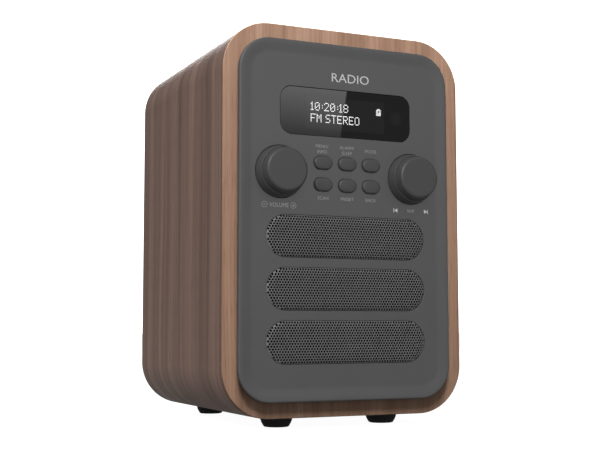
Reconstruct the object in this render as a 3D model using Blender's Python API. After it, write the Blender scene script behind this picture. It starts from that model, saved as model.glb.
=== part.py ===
"""A wooden tabletop radio, as separate pieces that fit and move as the real ones do.

Run it with blender --background --python part.py, or from the text editor. The scene is in metres with
+Z up. The origin is at the middle of the base of the whole radio's box: the feet stand on Z = 0, the
controls face -Y and the aerial is folded down behind, at +Y.

Sizes below are in millimetres. Pieces of the front are laid out in the face frame: x to the right, y up
from the cabinet's underside, z out of the wooden front. Pieces of the back use the rear frame, which is
the same seen from behind, with z out of the back edge of the cabinet.
"""

import math

import bmesh
import bpy
from mathutils import Vector

MM = 0.001

# Driving dimensions of the cabinet.
WIDTH = 116.0
HEIGHT = 170.0
DEPTH = 115.5
CORNER = 21.4
WALL = 9.0
FOOT_HEIGHT = 4.7
GAP = 0.3  # between pieces that touch in the real radio

# Front panel: a moulding that leaves an even wooden rim. Its border slopes down to a slightly lower face.
RIM = 6.7
BORDER = 5.6
BORDER_PROUD = 2.1
PROUD = 1.5
PANEL_SKIN = 1.2
PANEL_EDGE = 0.5
LIP_DEPTH = 3.7
LIP_WALL = 1.6
FACING = 0.8
FACING_INSET = 10.0

# Controls and display, as heights above the cabinet's underside.
KNOB_X = 32.15
KNOB_Y = 105.05
KNOB_HOLE = 11.6
SKIRT_RADIUS = 11.2
SKIRT_TOP_RADIUS = 10.5
SKIRT_PROUD = 4.2
KNOB_RADIUS = 10.0
KNOB_TIP_RADIUS = 9.45
KNOB_FACE_RADIUS = 8.9
KNOB_PROUD = 8.4
SHAFT_RADIUS = 3.0
BUTTON_COLUMNS = (-11.8, 0.0, 11.8)
BUTTON_ROWS = (110.0, 100.4)
BUTTON_NAMES = (("menu", "alarm", "mode"), ("scan", "preset", "back"))
BUTTON_HOLE = (9.0, 6.2)
BUTTON_PROUD = 1.3
WINDOW = (64.4, 21.3)
WINDOW_RADIUS = 5.5
WINDOW_Y = 132.35
SENSOR_X = 25.0
SLOT = (77.4, 18.6)
SLOT_ROWS = (("upper", 77.5), ("middle", 54.8), ("lower", 32.0))

# Inside, as distances out of the wooden front, so negative.
BAFFLE_FRONT = -4.0
BAFFLE_BACK = -12.0
BOARD_FRONT = -7.6
BOARD_THICKNESS = 1.6
SPEAKER_Y = 54.8
SPEAKER_FRAME = 36.0

# Back panel and its fittings, in the rear frame.
BACK_INSET = 2.0
BACK_THICKNESS = 3.0
AERIAL_X = -38.0
AERIAL_Y = 153.0
AERIAL_PIVOT = 5.5
AERIAL_COLLAR = 4.0
SCREW_X = 42.0
SCREW_ROWS = (15.0, 138.0)
SOCKET_Y = 34.0
FOOT_X = 26.0
FOOT_RADIUS = 7.1
FRONT_FOOT_INSET = 17.0
REAR_FOOT_INSET = 15.0

# The box from the knobs' faces to the folded aerial is centred on Y = 0.
KNOB_FRONT = PROUD + KNOB_PROUD
AERIAL_BACK = AERIAL_PIVOT + AERIAL_COLLAR
FACE_Y = KNOB_FRONT - (KNOB_FRONT + DEPTH + AERIAL_BACK) / 2
BACK_Y = FACE_Y + DEPTH

ROUND_STEPS = 24
CORNER_STEPS = 7

FINISHES = {
    # name: base colour, roughness, metallic
    "wood_side": ((0.20, 0.12, 0.085), 0.45, 0.0),
    "wood_front": ((0.32, 0.20, 0.14), 0.45, 0.0),
    "mdf": ((0.45, 0.33, 0.22), 0.9, 0.0),
    "panel_grey": ((0.10, 0.10, 0.10), 0.5, 0.0),
    "knob_grey": ((0.08, 0.08, 0.08), 0.45, 0.0),
    "grille_grey": ((0.12, 0.12, 0.12), 0.45, 0.2),
    "window_black": ((0.012, 0.012, 0.014), 0.08, 0.0),
    "display_black": ((0.02, 0.02, 0.025), 0.2, 0.0),
    "black_plastic": ((0.03, 0.03, 0.032), 0.5, 0.0),
    "rubber": ((0.025, 0.025, 0.027), 0.8, 0.0),
    "cloth": ((0.01, 0.01, 0.01), 0.95, 0.0),
    "paper": ((0.04, 0.04, 0.045), 0.9, 0.0),
    "steel": ((0.55, 0.55, 0.57), 0.3, 1.0),
    "chrome": ((0.8, 0.8, 0.82), 0.12, 1.0),
    "magnet": ((0.08, 0.08, 0.085), 0.6, 0.6),
    "board_green": ((0.02, 0.11, 0.05), 0.5, 0.0),
    "battery_wrap": ((0.03, 0.12, 0.3), 0.35, 0.0),
    "wire": ((0.25, 0.02, 0.02), 0.5, 0.0),
    "ribbon": ((0.5, 0.5, 0.52), 0.5, 0.0),
}


def clear_scene():
    for obj in list(bpy.data.objects):
        bpy.data.objects.remove(obj)


def finish(name):
    """The Principled material of that finish, made once."""
    found = bpy.data.materials.get(name)
    if found:
        return found
    colour, roughness, metallic = FINISHES[name]
    material = bpy.data.materials.new(name)
    material.use_nodes = True
    shader = material.node_tree.nodes["Principled BSDF"]
    shader.inputs["Base Color"].default_value = (*colour, 1.0)
    shader.inputs["Roughness"].default_value = roughness
    shader.inputs["Metallic"].default_value = metallic
    material.diffuse_color = (*colour, 1.0)
    return material


def datum(name, parent, at, turn=(0.0, 0.0, 0.0)):
    """An empty at a place in millimetres, turned by angles in degrees."""
    empty = bpy.data.objects.new(name, None)
    bpy.context.scene.collection.objects.link(empty)
    empty.parent = parent
    empty.location = Vector(at) * MM
    empty.rotation_euler = [math.radians(angle) for angle in turn]
    return empty


def place(name, mesh, look, parent, at=(0, 0, 0), turn=(0.0, 0.0, 0.0)):
    """One named object in the scene, holding that mesh."""
    if look:
        mesh.materials.clear()
        mesh.materials.append(finish(look))
    obj = bpy.data.objects.new(name, mesh)
    bpy.context.scene.collection.objects.link(obj)
    obj.parent = parent
    obj.location = Vector(at) * MM
    obj.rotation_euler = [math.radians(angle) for angle in turn]
    return obj


def helper(name, mesh, parent, at=(0, 0, 0), turn=(0.0, 0.0, 0.0)):
    """A shape that only cuts or joins another."""
    obj = place(name, mesh, None, parent, at, turn)
    obj.hide_render = True
    obj.display_type = "WIRE"
    return obj


def combine(target, other, operation):
    modifier = target.modifiers.new(f"{operation.lower()} {other.name}", "BOOLEAN")
    modifier.operation = operation
    modifier.object = other
    modifier.solver = "EXACT"


# Outlines: closed loops of (x, y) points, anticlockwise from the right.


def circle(radius, centre=(0, 0), steps=ROUND_STEPS):
    turns = [2 * math.pi * i / steps for i in range(steps)]
    return [(centre[0] + radius * math.cos(a), centre[1] + radius * math.sin(a)) for a in turns]


def rounded(width, height, radius, centre=(0, 0), steps=CORNER_STEPS):
    """A rectangle with round corners; a radius of half the height makes a pill."""
    loop = []
    corners = ((1, 1), (-1, 1), (-1, -1), (1, -1))
    for quarter, (side, level) in enumerate(corners):
        middle_x = centre[0] + side * (width / 2 - radius)
        middle_y = centre[1] + level * (height / 2 - radius)
        for i in range(steps + 1):
            angle = math.pi / 2 * (quarter + i / steps)
            loop.append((middle_x + radius * math.cos(angle), middle_y + radius * math.sin(angle)))
    return loop


def pill(width, height, centre=(0, 0), steps=CORNER_STEPS):
    return rounded(width, height, height / 2 - 0.001, centre, steps)


def keyed(radius, flat, steps=ROUND_STEPS):
    """A circle with one flat, at that distance from the middle, as on a D shaft."""
    half = math.acos(flat / radius)
    turns = [half + (2 * math.pi - 2 * half) * i / steps for i in range(steps + 1)]
    return [(radius * math.cos(a), radius * math.sin(a)) for a in turns]


# Meshes.


def smooth(mesh):
    mesh.shade_smooth()
    mesh.set_sharp_from_angle(angle=math.radians(35))
    return mesh


def plate(loops, low, high):
    """A flat sheet between two levels of z. The first loop is its edge and the others are holes in it."""
    curve = bpy.data.curves.new("outline", "CURVE")
    curve.dimensions = "2D"
    curve.fill_mode = "BOTH"
    curve.extrude = (high - low) / 2 * MM
    for loop in loops:
        spline = curve.splines.new("POLY")
        spline.points.add(len(loop) - 1)
        for point, (x, y) in zip(spline.points, loop):
            point.co = (x * MM, y * MM, 0, 1)
        spline.use_cyclic_u = True
    drawn = bpy.data.objects.new("outline", curve)
    mesh = bpy.data.meshes.new_from_object(drawn)
    bpy.data.objects.remove(drawn)
    bpy.data.curves.remove(curve)
    shape = bmesh.new()
    shape.from_mesh(mesh)
    bmesh.ops.remove_doubles(shape, verts=shape.verts, dist=0.001 * MM)
    bmesh.ops.translate(shape, verts=shape.verts, vec=(0, 0, (high + low) / 2 * MM))
    bmesh.ops.recalc_face_normals(shape, faces=shape.faces)
    shape.to_mesh(mesh)
    shape.free()
    return smooth(mesh)


def lofted(sections):
    """A solid through loops of equal count, each at its own z, with flat ends."""
    shape = bmesh.new()
    rings = []
    for loop, level in sections:
        rings.append([shape.verts.new((x * MM, y * MM, level * MM)) for x, y in loop])
    for lower, upper in zip(rings, rings[1:]):
        for i, corner in enumerate(lower):
            after = (i + 1) % len(lower)
            shape.faces.new((corner, lower[after], upper[after], upper[i]))
    shape.faces.new(reversed(rings[0]))
    shape.faces.new(rings[-1])
    mesh = bpy.data.meshes.new("lofted")
    shape.to_mesh(mesh)
    shape.free()
    return smooth(mesh)


def turned(profile, steps=ROUND_STEPS):
    """A solid of revolution about z. The profile is (radius, z) points, closed, or ending on the axis."""
    shape = bmesh.new()
    rings = []
    for radius, level in profile:
        if radius == 0:
            rings.append([shape.verts.new((0, 0, level * MM))])
            continue
        rings.append([shape.verts.new((x * MM, y * MM, level * MM)) for x, y in circle(radius, steps=steps)])
    pairs = list(zip(rings, rings[1:]))
    if len(rings[0]) > 1 and len(rings[-1]) > 1:
        pairs.append((rings[-1], rings[0]))
    for lower, upper in pairs:
        for i in range(steps):
            after = (i + 1) % steps
            corners = [lower[i % len(lower)], lower[after % len(lower)]]
            corners += [upper[after % len(upper)], upper[i % len(upper)]]
            distinct = list(dict.fromkeys(corners))
            if len(distinct) > 2:
                shape.faces.new(distinct)
    bmesh.ops.recalc_face_normals(shape, faces=shape.faces)
    mesh = bpy.data.meshes.new("turned")
    shape.to_mesh(mesh)
    shape.free()
    return smooth(mesh)


def block(width, height, low, high, centre=(0, 0)):
    half_x = width / 2
    half_y = height / 2
    loop = [(half_x, half_y), (-half_x, half_y), (-half_x, -half_y), (half_x, -half_y)]
    return lofted([([(x + centre[0], y + centre[1]) for x, y in loop], level) for level in (low, high)])


def merged(meshes):
    """Separate bodies in one mesh, for use as one cutter."""
    shape = bmesh.new()
    for mesh in meshes:
        shape.from_mesh(mesh)
    mesh = bpy.data.meshes.new("merged")
    shape.to_mesh(mesh)
    shape.free()
    return mesh


def wire(name, route, radius, look, parent):
    """A round lead along a smooth curve through its route's points."""
    points = smooth_route(route)
    curve = bpy.data.curves.new(name, "CURVE")
    curve.dimensions = "3D"
    curve.bevel_depth = radius * MM
    curve.bevel_resolution = 1
    curve.use_fill_caps = True
    spline = curve.splines.new("POLY")
    spline.points.add(len(points) - 1)
    for point, place_of in zip(spline.points, points):
        point.co = (*(place_of * MM), 1)
    curve.materials.append(finish(look))
    obj = bpy.data.objects.new(name, curve)
    bpy.context.scene.collection.objects.link(obj)
    obj.parent = parent
    return obj


def smooth_route(route, steps=4):
    """Catmull-Rom points through the route."""
    knots = [Vector(p) for p in route]
    knots = [2 * knots[0] - knots[1], *knots, 2 * knots[-1] - knots[-2]]
    points = []
    for before, start, end, after in zip(knots, knots[1:], knots[2:], knots[3:]):
        for i in range(steps):
            t = i / steps
            points.append(
                0.5 * (2 * start + (end - before) * t
                       + (2 * before - 5 * start + 4 * end - after) * t * t
                       + (3 * start - before - 3 * end + after) * t * t * t)
            )
    return [*points, knots[-2]]


def ribbon(name, route, width, thickness, look, parent):
    """A flat cable of that width along x, whose route is (y, z) points."""
    points = [Vector((0, y, z)) for y, z in route]
    centres = smooth_route(points, 3)
    shape = bmesh.new()
    rings = []
    for i, centre in enumerate(centres):
        ahead = centres[min(i + 1, len(centres) - 1)] - centres[max(i - 1, 0)]
        across = Vector((0, -ahead.z, ahead.y)).normalized() * (thickness / 2)
        side = Vector((width / 2, 0, 0))
        corners = [centre + side + across, centre - side + across]
        corners += [centre - side - across, centre + side - across]
        rings.append([shape.verts.new(corner * MM) for corner in corners])
    for lower, upper in zip(rings, rings[1:]):
        for i in range(4):
            after = (i + 1) % 4
            shape.faces.new((lower[i], lower[after], upper[after], upper[i]))
    shape.faces.new(rings[0])
    shape.faces.new(rings[-1])
    bmesh.ops.recalc_face_normals(shape, faces=shape.faces)
    mesh = bpy.data.meshes.new(name)
    shape.to_mesh(mesh)
    shape.free()
    return place(name, mesh, look, parent)


# Sub-assemblies.


def build_cabinet(face, rear):
    outer = rounded(WIDTH, HEIGHT, CORNER, (0, HEIGHT / 2))
    inner = rounded(WIDTH - 2 * WALL, HEIGHT - 2 * WALL, CORNER - WALL, (0, HEIGHT / 2))
    sleeve_front = -FACING - GAP
    sleeve = place("cabinet_sleeve", plate([outer, inner], -DEPTH, sleeve_front), "wood_side", face)
    back_front = -BACK_INSET - BACK_THICKNESS
    blocks = []
    pilots = []
    for side in (-1, 1):
        for row in SCREW_ROWS:
            middle = (side * (SCREW_X + 3), row)
            blocks.append(block(16, 20, back_front - GAP - 16, back_front - GAP, middle))
            pilots.append(plate([circle(1.7, (side * SCREW_X, row), 12)], back_front - 13, 0))
    corner_blocks = helper("cutter_corner_blocks", merged(blocks), rear)
    trim = rounded(WIDTH - WALL, HEIGHT - WALL, CORNER - WALL / 2, (0, HEIGHT / 2))
    inside = helper("cutter_block_trim", plate([trim], -40, 10), rear)
    combine(corner_blocks, inside, "INTERSECT")
    combine(sleeve, corner_blocks, "UNION")
    combine(sleeve, helper("cutter_screw_pilots", merged(pilots), rear), "DIFFERENCE")
    pegs = [circle(2.6, centre, 16) for centre in foot_centres()]
    peg_holes = merged([plate([peg], -1, 6.2) for peg in pegs])
    combine(sleeve, helper("cutter_peg_holes", peg_holes, None, (0, 0, FOOT_HEIGHT)), "DIFFERENCE")
    inset = FACING_INSET
    opening = rounded(WIDTH - 2 * inset, HEIGHT - 2 * inset, CORNER - inset, (0, HEIGHT / 2))
    place("front_facing", plate([outer, opening], -FACING, 0), "wood_front", face)


def foot_centres():
    rows = (FACE_Y + FRONT_FOOT_INSET, BACK_Y - REAR_FOOT_INSET)
    return [(side * FOOT_X, row) for row in rows for side in (-1, 1)]


def build_feet():
    profile = [(0, 0), (5.2, 0), (5.7, 0.35), (6.6, 2.0), (FOOT_RADIUS, 4.0)]
    profile += [(FOOT_RADIUS, FOOT_HEIGHT - GAP)]
    peg = FOOT_HEIGHT + 5.6
    profile += [(2.2, FOOT_HEIGHT - GAP), (2.2, peg - 0.6), (1.6, peg), (0, peg)]
    mesh = turned(profile, 16)
    names = ("foot_front_left", "foot_front_right", "foot_rear_left", "foot_rear_right")
    for name, (x, y) in zip(names, foot_centres()):
        place(name, mesh, "rubber", None, (x, y, 0))


def build_baffle(face):
    clear = 2 * (WALL + GAP)
    outer = rounded(WIDTH - clear, HEIGHT - clear, CORNER - WALL - GAP, (0, HEIGHT / 2))
    speaker_hole = circle(33.0, (0, SPEAKER_Y), 32)
    electronics = rounded(90, 56, 3, (0, 119.5), 3)
    mesh = plate([outer, speaker_hole, electronics], BAFFLE_BACK, BAFFLE_FRONT)
    place("front_baffle", mesh, "mdf", face)


def build_panel(face):
    """The grey moulding: a face plate with a locating lip behind it, board posts, and every opening."""
    middle = (0, HEIGHT / 2)
    lip = 2 * (FACING_INSET + GAP)
    lip_loop = rounded(WIDTH - lip, HEIGHT - lip, CORNER - FACING_INSET - GAP, middle)
    pocket = lip + 2 * LIP_WALL
    pocket_loop = rounded(WIDTH - pocket, HEIGHT - pocket, CORNER - FACING_INSET - GAP - LIP_WALL, middle)
    face_loop = rounded(WIDTH - 2 * RIM, HEIGHT - 2 * RIM, CORNER - RIM, middle)
    inset = RIM + PANEL_EDGE
    edge_loop = rounded(WIDTH - 2 * inset, HEIGHT - 2 * inset, CORNER - inset, middle)
    inset = RIM + BORDER
    foot_loop = rounded(WIDTH - 2 * inset, HEIGHT - 2 * inset, CORNER - inset, middle)
    plate_back = PROUD - PANEL_SKIN
    sections = [(lip_loop, -LIP_DEPTH), (lip_loop, plate_back), (face_loop, plate_back)]
    sections += [(face_loop, BORDER_PROUD - PANEL_EDGE), (edge_loop, BORDER_PROUD), (foot_loop, PROUD)]
    panel = place("front_panel", lofted(sections), "panel_grey", face)
    combine(panel, helper("cutter_pocket", plate([pocket_loop], -9, plate_back), face), "DIFFERENCE")
    post_top = plate_back + 0.5
    posts = [plate([circle(2.6, centre, 12)], BOARD_FRONT + GAP, post_top) for centre in post_centres()]
    combine(panel, helper("cutter_posts", merged(posts), face), "UNION")
    pilots = [plate([circle(1.1, centre, 8)], BOARD_FRONT - 2, plate_back - 0.4) for centre in post_centres()]
    combine(panel, helper("cutter_post_pilots", merged(pilots), face), "DIFFERENCE")
    openings = [rounded(*WINDOW, WINDOW_RADIUS, (0, WINDOW_Y))]
    openings += [circle(KNOB_HOLE, (side * KNOB_X, KNOB_Y), 32) for side in (-1, 1)]
    openings += [pill(*BUTTON_HOLE, centre, 4) for _, centre in button_places()]
    openings += [pill(*SLOT, (0, row), 8) for _, row in SLOT_ROWS]
    holes = merged([plate([loop], -1, PROUD + 1) for loop in openings])
    combine(panel, helper("cutter_openings", holes, face), "DIFFERENCE")


def post_centres():
    return [(side * 40.5, row) for side in (-1, 1) for row in (119.5, 143.5)]


def button_places():
    found = []
    for row, names in zip(BUTTON_ROWS, BUTTON_NAMES):
        for column, name in zip(BUTTON_COLUMNS, names):
            found.append((name, (column, row)))
    return found


def build_display(face):
    centre = (0, WINDOW_Y)
    seat = rounded(WINDOW[0] - 2 * GAP, WINDOW[1] - 2 * GAP, WINDOW_RADIUS - GAP)
    flange = rounded(WINDOW[0] + 3, WINDOW[1] + 3, WINDOW_RADIUS + 1.5)
    sections = [(flange, -1.2), (flange, 0.0), (seat, 0.0), (seat, PROUD - 0.25)]
    place("display_window", lofted(sections), "window_black", face, (*centre, 0))
    place("display_module", block(42, 22, -7.2, -1.6), "display_black", face, (0, WINDOW_Y - 0.5, 0))
    lens = [(0, -7.2), (2.9, -7.2), (2.9, -3.4), (2.4, -2.4), (1.3, -1.8), (0, -1.6)]
    place("remote_sensor", turned(lens, 16), "display_black", face, (SENSOR_X, WINDOW_Y, 0))
    holes = [circle(1.4, post, 8) for post in post_centres()]
    board = plate([rounded(88, 53, 1.5, (0, 119), 2), *holes], BOARD_FRONT - BOARD_THICKNESS, BOARD_FRONT)
    place("front_board", board, "board_green", face)


def build_knobs(face):
    """Each knob is pressed on the shaft of an encoder that turns and clicks inwards."""
    skirt_back = 0.8
    cavity = KNOB_FRONT - 2.0
    profile = [(0, KNOB_FRONT), (KNOB_FACE_RADIUS, KNOB_FRONT), (KNOB_TIP_RADIUS - 0.15, KNOB_FRONT - 0.15)]
    profile += [(KNOB_TIP_RADIUS, KNOB_FRONT - 0.55), (KNOB_RADIUS, PROUD + SKIRT_PROUD)]
    profile += [(SKIRT_TOP_RADIUS - 0.2, PROUD + SKIRT_PROUD), (SKIRT_TOP_RADIUS, PROUD + SKIRT_PROUD - 0.3)]
    profile += [(SKIRT_RADIUS, PROUD)]
    profile += [(SKIRT_RADIUS, skirt_back), (9.2, skirt_back), (8.7, cavity)]
    profile += [(5.2, cavity), (5.2, 2.0), (0, 2.0)]
    knob_mesh = turned(profile, 32)
    bore = plate([keyed(SHAFT_RADIUS + 0.25, 1.75, 14)], 1, cavity + 0.4)
    shaft_mesh = plate([keyed(SHAFT_RADIUS, 1.5, 14)], -6.3, cavity + 0.1)
    rotor_mesh = plate([circle(4.8, steps=16), keyed(SHAFT_RADIUS + 0.25, 1.75, 14)], -5.6, -4.0)
    housing_mesh = lofted([(rounded(12, 12, 0.6, steps=2), -7.3), (rounded(12, 12, 0.6, steps=2), -0.8)])
    chamber = turned([(0, -8), (5.2, -8), (5.2, -2.2), (3.4, -2.2), (3.4, 2), (0, 2)], 16)
    bushing = turned([(3.2, -1.4), (4.4, -1.4), (4.4, 1.2), (3.2, 1.2)], 16)
    for name, side in (("volume", -1), ("tuning", 1)):
        axis = datum(f"{name}_axis", face, (side * KNOB_X, KNOB_Y, 0))
        knob = place(f"{name}_knob", knob_mesh.copy(), "knob_grey", axis)
        combine(knob, helper(f"cutter_{name}_bore", bore, axis), "DIFFERENCE")
        place(f"{name}_shaft", shaft_mesh.copy(), "steel", axis)
        place(f"{name}_encoder_rotor", rotor_mesh.copy(), "black_plastic", axis)
        housing = place(f"{name}_encoder_housing", housing_mesh.copy(), "steel", axis)
        combine(housing, helper(f"cutter_{name}_bushing", bushing, axis), "UNION")
        combine(housing, helper(f"cutter_{name}_chamber", chamber, axis), "DIFFERENCE")


def build_buttons(face):
    """A cap with a flange that stops it behind the panel, and a stem down into its switch."""
    steps = 4
    cap = pill(BUTTON_HOLE[0] - 0.5, BUTTON_HOLE[1] - 0.5, steps=steps)
    crown = pill(BUTTON_HOLE[0] - 1.1, BUTTON_HOLE[1] - 1.1, steps=steps)
    flange = pill(BUTTON_HOLE[0] + 1.4, BUTTON_HOLE[1] + 1.4, steps=steps)
    stem = circle(1.4, steps=len(cap))
    top = PROUD + BUTTON_PROUD
    sections = [(stem, -5.2), (stem, -1.3), (flange, -1.3), (flange, -0.1), (cap, -0.1)]
    sections += [(cap, top - 0.35), (crown, top)]
    cap_mesh = lofted(sections)
    well = turned([(1.75, -3.6), (2.6, -3.6), (3.0, -4.0), (3.0, -7.3), (1.75, -7.3)], 12)
    for name, centre in button_places():
        place(f"{name}_button", cap_mesh.copy(), "knob_grey", face, (*centre, 0))
        place(f"{name}_switch", well.copy(), "black_plastic", face, (*centre, 0))


def build_grilles(face):
    """Three pillows of pressed sheet, with a flange behind the panel, and the dust cloth behind them."""
    sheet = 0.5
    width = SLOT[0] - 2 * GAP
    height = SLOT[1] - 2 * GAP
    crown = PROUD + 0.2
    steps = [(-2.0, 0.0), (0.0, 0.0), (0.0, crown - 1.4), (0.45, crown - 0.75)]
    steps += [(1.3, crown - 0.35), (3.0, crown - 0.1), (5.0, crown)]
    outside = [(pill(width - 2 * inset, height - 2 * inset, steps=6), level) for inset, level in steps]
    steps_in = [(inset + (sheet if inset >= 0 else 0), level - sheet) for inset, level in steps]
    inside = [(pill(width - 2 * inset, height - 2 * inset, steps=6), level) for inset, level in steps_in]
    for name, row in SLOT_ROWS:
        mesh = grille_mesh(outside, inside)
        place(f"grille_{name}", mesh, "grille_grey", face, (0, row, 0))
    cloth = plate([rounded(86, 68, 4, (0, SPEAKER_Y), 3)], -1.9, -1.3)
    place("dust_cloth", cloth, "cloth", face)


def grille_mesh(outside, inside):
    """A closed sheet between an outer and an inner stack of loops."""
    shape = bmesh.new()
    stacks = []
    for stack in (outside, inside):
        stacks.append([[shape.verts.new((x * MM, y * MM, z * MM)) for x, y in loop] for loop, z in stack])
    count = len(stacks[0][0])
    for rings in stacks:
        for lower, upper in zip(rings, rings[1:]):
            for i in range(count):
                after = (i + 1) % count
                shape.faces.new((lower[i], lower[after], upper[after], upper[i]))
        shape.faces.new(rings[-1])
    edge_out, edge_in = stacks[0][0], stacks[1][0]
    for i in range(count):
        after = (i + 1) % count
        shape.faces.new((edge_out[i], edge_out[after], edge_in[after], edge_in[i]))
    bmesh.ops.recalc_face_normals(shape, faces=shape.faces)
    mesh = bpy.data.meshes.new("grille")
    shape.to_mesh(mesh)
    shape.free()
    return smooth(mesh)


def build_speaker(face):
    """A small full-range driver behind the baffle, its cone free to move on its surround."""
    axis = datum("speaker_axis", face, (0, SPEAKER_Y, 0))
    flange_front = BAFFLE_BACK - GAP
    basket = [(31.2, flange_front), (SPEAKER_FRAME, flange_front), (SPEAKER_FRAME, flange_front - 1.6)]
    basket += [(32.6, flange_front - 1.6), (32.0, flange_front - 6.0), (24.0, -32.0), (10.0, -32.0)]
    basket += [(10.0, -30.8), (23.2, -30.8), (31.2, flange_front - 6.0)]
    frame = place("speaker_frame", turned(basket, 28), "steel", axis)
    windows = [block(90, 14, -29.5, flange_front - 7.5), block(14, 90, -29.5, flange_front - 7.5)]
    combine(frame, helper("cutter_windows_a", windows[0], axis), "DIFFERENCE")
    combine(frame, helper("cutter_windows_b", windows[1], axis), "DIFFERENCE")
    magnet = [(0, -31.0), (6.6, -31.0), (6.6, -46.0), (9.2, -46.0), (9.2, -32.3), (22.5, -32.3)]
    magnet += [(22.5, -47.0), (20.0, -47.0), (20.0, -50.0), (0, -50.0)]
    place("speaker_magnet", turned(magnet, 28), "magnet", axis)
    cone = [(0, -18.0), (5.0, -18.7), (9.0, -20.6), (26.0, -14.6), (26.0, -15.3), (9.4, -21.6)]
    cone += [(8.4, -22.2), (8.4, -36.0), (7.4, -36.0), (7.4, -21.4), (4.8, -19.4), (0, -18.7)]
    place("speaker_cone", turned(cone, 28), "paper", axis)
    rolled = [(26.4, -14.6), (27.0, -13.2), (28.4, -12.7), (29.8, -13.2), (30.6, -14.6)]
    under = [(30.2, -14.9), (29.4, -13.7), (28.4, -13.3), (27.4, -13.7), (26.8, -14.9)]
    place("speaker_surround", turned(rolled + under, 28), "rubber", axis)


def build_back(rear):
    """The black back panel with its sockets, screws and everything on the main board."""
    clear = 2 * (WALL + GAP)
    front = -BACK_INSET - BACK_THICKNESS
    outer = rounded(WIDTH - clear, HEIGHT - clear, CORNER - WALL - GAP, (0, HEIGHT / 2))
    screws = [(side * SCREW_X, row) for row in SCREW_ROWS for side in (-1, 1)]
    holes = [circle(1.8, centre, 12) for centre in screws]
    holes.append(circle(3.4, (AERIAL_X, AERIAL_Y), 20))
    sockets = {"aux": 8.0, "phones": 24.0}
    holes += [circle(3.5, (x, SOCKET_Y), 20) for x in sockets.values()]
    holes.append(rounded(10.0, 4.2, 1.6, (-10, SOCKET_Y), 3))
    place("back_panel", plate([outer, *holes], front, -BACK_INSET), "black_plastic", rear)
    board_face = -19.0
    for name, x in sockets.items():
        body = [(1.85, -2.1), (3.2, -2.1), (3.2, -5.6), (5.4, -5.6)]
        body += [(5.4, board_face + GAP), (1.85, board_face + GAP)]
        place(f"{name}_socket", turned(body, 16), "black_plastic", rear, (x, SOCKET_Y, 0))
    shell = plate([rounded(9.2, 3.4, 1.3, steps=3), rounded(8.4, 2.6, 1.0, steps=3)], board_face + 6, -2.2)
    power = place("power_socket", shell, "steel", rear, (-10, SOCKET_Y, 0))
    foot = block(9.6, 5.0, board_face + GAP, board_face + 6.2)
    combine(power, helper("cutter_power_foot", foot, rear, (-10, SOCKET_Y, 0)), "UNION")
    board = plate([rounded(72, 62, 1.5, (0, 50), 2)], board_face - BOARD_THICKNESS, board_face)
    place("main_board", board, "board_green", rear)
    place("tuner_module", block(24, 26, board_face + GAP, board_face + 4.5, (-22, 62)), "steel", rear)
    head = [(0, 1.7), (1.6, 1.7), (2.6, 1.3), (3.0, 0.6), (3.0, GAP), (1.4, GAP), (1.4, -10.5), (0, -12)]
    screw_mesh = turned(head, 12)
    for name, centre in zip(("lower_left", "lower_right", "upper_left", "upper_right"), screws):
        screw = place(f"back_screw_{name}", screw_mesh.copy(), "steel", rear, (*centre, -BACK_INSET))
        for number, cross in enumerate(((3.6, 0.8), (0.8, 3.6))):
            slot = helper(f"cutter_{name}_{number}", block(*cross, 0.9, 3), rear, (*centre, -BACK_INSET))
            combine(screw, slot, "DIFFERENCE")


def build_aerial(rear):
    """A swivelling base, an elbow that folds on its pin, and three sections drawn out of the first tube."""
    pivot = datum("aerial_swivel", rear, (AERIAL_X, AERIAL_Y, 0))
    stem = [(0, -9), (2.9, -9), (2.9, -1.7), (6.5, -1.7), (6.5, 0.3), (5.9, 1.0), (0, 1.0)]
    base = place("aerial_base", turned(stem, 20), "chrome", pivot)
    ears = []
    for side in (-1, 1):
        ears.append(ear_mesh(side * 3.4, 2.2))
    combine(base, helper("cutter_ear_a", ears[0], pivot), "UNION")
    combine(base, helper("cutter_ear_b", ears[1], pivot), "UNION")
    pin = helper("cutter_pin", turned([(0, -4.3), (1.0, -4.3), (1.0, 4.3), (0, 4.3)], 12), pivot,
                 (0, 0, AERIAL_PIVOT), (0, 90, 0))
    combine(base, pin, "UNION")
    # The rod runs along +z of this datum, which points down the back of the radio at rest.
    rod = datum("aerial_elbow_axis", pivot, (0, 0, AERIAL_PIVOT), (90, 0, 0))
    collar = [(0, 4.7), (3.4, 4.7), (AERIAL_COLLAR, 5.3), (AERIAL_COLLAR, 11.0)]
    collar += [(3.5, 11.0), (3.5, 6.6), (0, 6.6)]
    elbow = place("aerial_elbow", turned(collar, 20), "chrome", rod)
    tongue = tongue_mesh()
    combine(elbow, helper("cutter_tongue", tongue, rod), "UNION")
    pin_hole = helper("cutter_pin_hole", turned([(0, -3), (1.3, -3), (1.3, 3), (0, 3)], 12), rod,
                      (0, 0, 0), (0, 90, 0))
    combine(elbow, pin_hole, "DIFFERENCE")
    tubes = ((3.2, 2.85, 6.9, 125.0), (2.6, 2.25, 12.0, 125.4), (2.0, 1.65, 14.0, 125.8))
    for number, (outer, inner, start, end) in enumerate(tubes, 1):
        wall = [(inner, start), (outer, start), (outer, end), (inner, end)]
        place(f"aerial_tube_{number}", turned(wall, 16), "chrome", rod)
    tip = [(0, 16), (1.4, 16), (1.4, 126.3), (2.9, 126.3), (3.2, 126.8), (3.2, 129.6), (2.4, 131), (0, 131.3)]
    place("aerial_tip_rod", turned(tip, 16), "chrome", rod)


def ear_mesh(x, thickness):
    """One cheek of the fork, a bar with a round end about the elbow's pin, standing on the base disc."""
    loop = [(-3.4, 0.6), (3.4, 0.6)]
    loop += [(3.4 * math.cos(a), AERIAL_PIVOT + 3.4 * math.sin(a)) for a in arc(0, math.pi, 8)]
    return slab(loop, x - thickness / 2, x + thickness / 2)


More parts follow.
